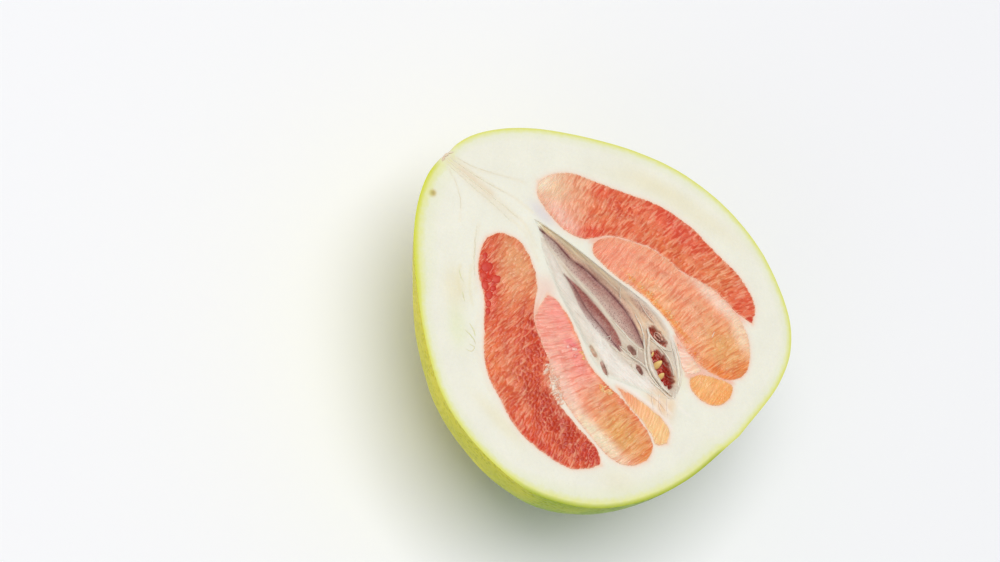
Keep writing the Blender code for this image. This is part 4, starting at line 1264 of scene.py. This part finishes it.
def pith_material(mottle):
    """Spongy white pith that turns to green skin over the last millimetre."""
    n = Finish("pith")
    places = n.places()
    out = mottled(n, mottle, places, n.read("pith_colour", "Color"), 90.0, 900.0, 0.10)
    rim = n.read("rim_distance")
    reach = n.plus(rim, n.swing(n.noise(places, 420.0, 3.0), 1.6))
    skin = n.blend(n.ramp(reach, 1.0, 5.5, 0.4, 0.0), out["Colour"], rgba("pith_lime"))
    skin = n.blend(n.ramp(reach, 0.4, 2.6, 1.0, 0.0), skin, rgba("rim_pale"))
    band = n.times(n.ramp(rim, 0.0, 1.1, 1.0, 0.0), n.read("rim_green"))
    skin = n.blend(band, skin, n.read("rim_colour", "Color"))
    grain = n.bump(out["Height"], 0.35, 0.0004)
    n.under_light(0.15, (1.0, 0.9, 0.7))
    return n.wears(colour=n.blend(n.read("stem_scar"), skin, out["Colour"]), rough=0.62,
                   specular=0.35,
                   normal=n.bump(n.noise(places, 260.0, 3.0), 0.25, 0.0006, grain))


def skin_material(mottle):
    """Waxy skin, green to yellow, pitted with oil glands; greener and darker towards the blossom
    end and lower down the back, partly its own green and partly painted shade.
    """
    n = Finish("skin")
    places = n.places()
    wide = n.noise(places, 24.0, 3.0, 0.55)
    split = n.add("SeparateXYZ", {0: places}).outputs
    # Greener and darker towards the blossom end and lower down: partly the skin's own green, partly
    # painted shade.
    green_and_shade = n.plus(n.ramp(wide, 0.35, 0.65, -0.25, 0.25),
                   n.ramp(split["X"], 0.018, 0.046, 0.05, 1.0))
    green_and_shade = n.plus(green_and_shade, n.ramp(split["Z"], 0.070, 0.045, 0.0, 0.2))
    ground = n.blend(n.ramp(green_and_shade, 0.0, 1.0), rgba("skin_yellow"), rgba("skin_green_and_shade"))
    ground = n.blend(n.read("stem_scar"), ground, rgba("scar"))
    out = mottled(n, mottle, places, ground, 130.0, 1100.0, 0.25)
    glands = n.cells(places, 520.0)
    small = n.ramp(n.cells(places, 1250.0), 0.1, 0.35, 0.45, 0.0)
    share = n.times(n.calc("MAXIMUM", n.ramp(glands, 0.12, 0.42, 1.0, 0.0), small), 0.62)
    dark = n.blend(1.0, out["Colour"], (0.62, 0.68, 0.35, 1.0), "MULTIPLY")
    pits = n.bump(n.ramp(glands, 0.1, 0.55), 0.5, 0.0006)
    return n.wears(colour=n.blend(share, out["Colour"], dark), rough=0.4, specular=0.2,
                   normal=n.bump(out["Height"], 0.15, 0.0004, pits))


def tissue_material(mottle):
    """Soft core membranes: fine purple specks on mauve, long pale fibres, wet red tears."""
    n = Finish("core_tissue")
    places, mauve, wound = n.places(), n.read("mauve"), n.read("wound")
    out = mottled(n, mottle, places, n.read("tissue_colour", "Color"), 300.0, 1500.0, 0.22)
    speck = n.times(n.ramp(n.cells(places, 1500.0), 0.15, 0.45, 0.75, 0.0), mauve)
    # The plum specks are the membranes' own; the same plum drawn along the creases is painted
    # shade.
    colour = n.blend(speck, out["Colour"], rgba("plum_specks_and_crease_shade"))
    grain = n.read("grain", "Vector")
    hairs = n.noise(n.stretched(grain, (2.6, 0.5, 1.0)), 1.0, 3.0, 0.6)
    strands = n.noise(n.stretched(grain, (0.14, 1.9, 1.0)), 1.0, 4.0, 0.6)
    fibre = n.add("Mix", {0: mauve, 2: strands, 3: hairs}, data_type="FLOAT").outputs[0]
    pale = n.times(n.ramp(fibre, 0.50, 0.70, 0.0, 0.55), n.ramp(mauve, 0.0, 1.0, 1.0, 0.65))
    colour = n.blend(pale, colour, rgba("tissue"))
    colour = n.blend(n.ramp(fibre, 0.46, 0.28, 0.0, 0.3), colour, rgba("tissue_shade"))
    tears = n.times(wound, n.ramp(n.noise(places, 700.0, 2.0), 0.52, 0.68))
    n.under_light(0.2, (1.0, 0.75, 0.65))
    return n.wears(colour=n.blend(tears, colour, rgba("wound_light")),
                   rough=n.ramp(wound, 0.0, 1.0, 0.6, 0.25),
                   normal=n.bump(fibre, 0.4, 0.0005, n.bump(out["Height"], 0.4, 0.0004)))


def moist_material(name, first, second, size, roughness=0.45, bumps=0.0):
    """Small moist things of two mixed colours, a little see-through."""
    n = Finish(name)
    uneven = n.noise(n.places(), 1.0 / (size * MM), 3.0)
    n.under_light(0.25, (1.0, 0.7, 0.55))
    return n.wears(colour=n.blend(n.ramp(uneven, 0.35, 0.65), rgba(first), rgba(second)),
                   rough=roughness, normal=n.bump(uneven, bumps, 0.0003))


def seed_material(mottle):
    n = Finish("seed_coat")
    out = mottled(n, mottle, n.places(), rgba("seed"), 500.0, 2500.0, 0.4)
    return n.wears(colour=out["Colour"], rough=0.35, normal=n.bump(out["Height"], 0.3, 0.0002))


# ---------------------------------------------------------------- stage

CAMERA_AIM = (-0.0297, -0.0220)
CAMERA_DISTANCE = 0.9401
CAMERA_ELEVATION = 65.0
CAMERA_ROLL = 47.0
CAMERA_LENS = 85.0
FLOOR_SIZE = 6.0


def set_stage():
    bpy.ops.mesh.primitive_plane_add(size=FLOOR_SIZE, location=(0, 0, 0))
    floor = bpy.context.object
    floor.name = "floor"
    paper = Finish("floor_paper")
    floor.data.materials.append(paper.wears(colour=(0.94, 0.94, 0.955, 1.0), rough=0.9))

    camera = linked("camera", bpy.data.cameras.new("camera"))
    camera.data.lens = CAMERA_LENS
    camera.data.sensor_width = 36.0
    tilt = math.radians(CAMERA_ELEVATION)
    forward = Vector((0.0, math.cos(tilt), -math.sin(tilt)))
    aim = Vector((*CAMERA_AIM, CUT_HEIGHT))
    turn = (Matrix.Rotation(math.radians(90.0 - CAMERA_ELEVATION), 4, "X")
            @ Matrix.Rotation(math.radians(CAMERA_ROLL), 4, "Z"))
    camera.matrix_world = Matrix.Translation(aim - forward * CAMERA_DISTANCE) @ turn
    bpy.context.scene.camera = camera

    up, right = (turn @ Vector(way) for way in ((0.0, 1.0, 0.0), (1.0, 0.0, 0.0)))
    key_way = 0.42 * up + 0.26 * right - forward
    for name, way, reach, size, power in (("key", key_way, 3.0, 2.2, 67.5),
                                          ("fill", Vector((0.0, -0.9, 0.45)), 2.0, 1.2, 3.0)):
        lamp = bpy.data.lights.new(name, "AREA")
        lamp.energy = power
        lamp.size = size
        holder = linked(name, lamp)
        holder.location = aim + way.normalized() * reach
        holder.rotation_euler = (-way).to_track_quat("-Z", "Y").to_euler()

    world = bpy.data.worlds.new("studio")
    world.use_nodes = True
    sky = world.node_tree.nodes["Background"]
    sky.inputs["Color"].default_value = (0.96, 0.975, 1.0, 1.0)
    sky.inputs["Strength"].default_value = 0.36
    bpy.context.scene.world = world
    bpy.context.scene.view_settings.view_transform = "Standard"


# ---------------------------------------------------------------- everything


mottle, sacs = mottle_group(), sac_group()
flesh = {slot: flesh_material(name, sacs, contrast) for slot, name, contrast in (
    ("pulp_red", "flesh_red", 1.0), ("pulp_pink", "flesh_pink", 0.8),
    ("pulp_orange", "flesh_orange", 0.5))}
pieces = [peel_piece([skin_material(mottle), pith_material(mottle)])]
for name, shape in PULPS.items():
    pieces.append(pulp_piece(name, shape, flesh[shape["slot"]]))
lining, lining_places = core_piece(tissue_material(mottle))
pieces.append(lining)

# Small things that lie on the others: name, slot, their shapes, where they lie, and material.
on_lining, on_flesh, on_pith = finder(lining_places), level(0.28), level(-0.12)
for name, slot, items, find, look in (
        ("core_threads", "core_tissue", THREADS, on_lining,
         ("torn_threads", "tissue", "ece2d2", 2.0, 0.6)),
        ("bud_rings", "core_tissue", BUD_RINGS, on_lining,
         ("ringed_bud", "membrane", "mauve", 1.5, 0.5)),
        ("flesh_strands", "pulp_pink", FLESH_STRANDS, on_flesh,
         ("pale_strands", "strand", "cotton", 2.0)),
        ("pith_fibres", "peel", PITH_FIBRES, on_pith,
         ("pith_fibres", "fibre", "fibre_tan", 4.0, 0.6)),
        ("lime_fibres", "peel", LIME_FIBRES, on_pith,
         ("lime_fibres", "lime_fibre", "pith_cream", 4.0, 0.6))):
    pieces.append(threads_piece(name, items, find, moist_material(*look)))
for name, slot, items, look in (
        ("stem_nub", "peel", STEM_NUB, ("stem_nub", "nub", "fibre_tan", 2.0, 0.6, 0.4)),
        ("red_drops", "pulp_red", RED_DROPS, ("red_drops", "drop", "d8452a", 3.0, 0.5, 0.1)),
        ("pink_drops", "pulp_pink", PINK_DROPS,
         ("pink_drops", "f4c4b4", "ee7468", 1.5, 0.2, 0.1)),
        ("dry_sacs", "pulp_pink", strewn(PALE_GRAINS, 61),
         ("dry_sacs", "vesicle", "strand", 1.5, 0.5, 0.2)),
        ("gold_grains", "pulp_orange", strewn(GOLD_GRAINS, 62),
         ("gold_grains", "granule", "fdcb90", 1.5, 0.4, 0.1))):
    pieces.append(drops_piece(name, items, moist_material(*look)))

seed_coat = seed_material(mottle)
for name in SEEDS:
    pieces.append(seed_piece(name, seed_coat))
for piece in pieces:
    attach(piece, "root")
set_stage()
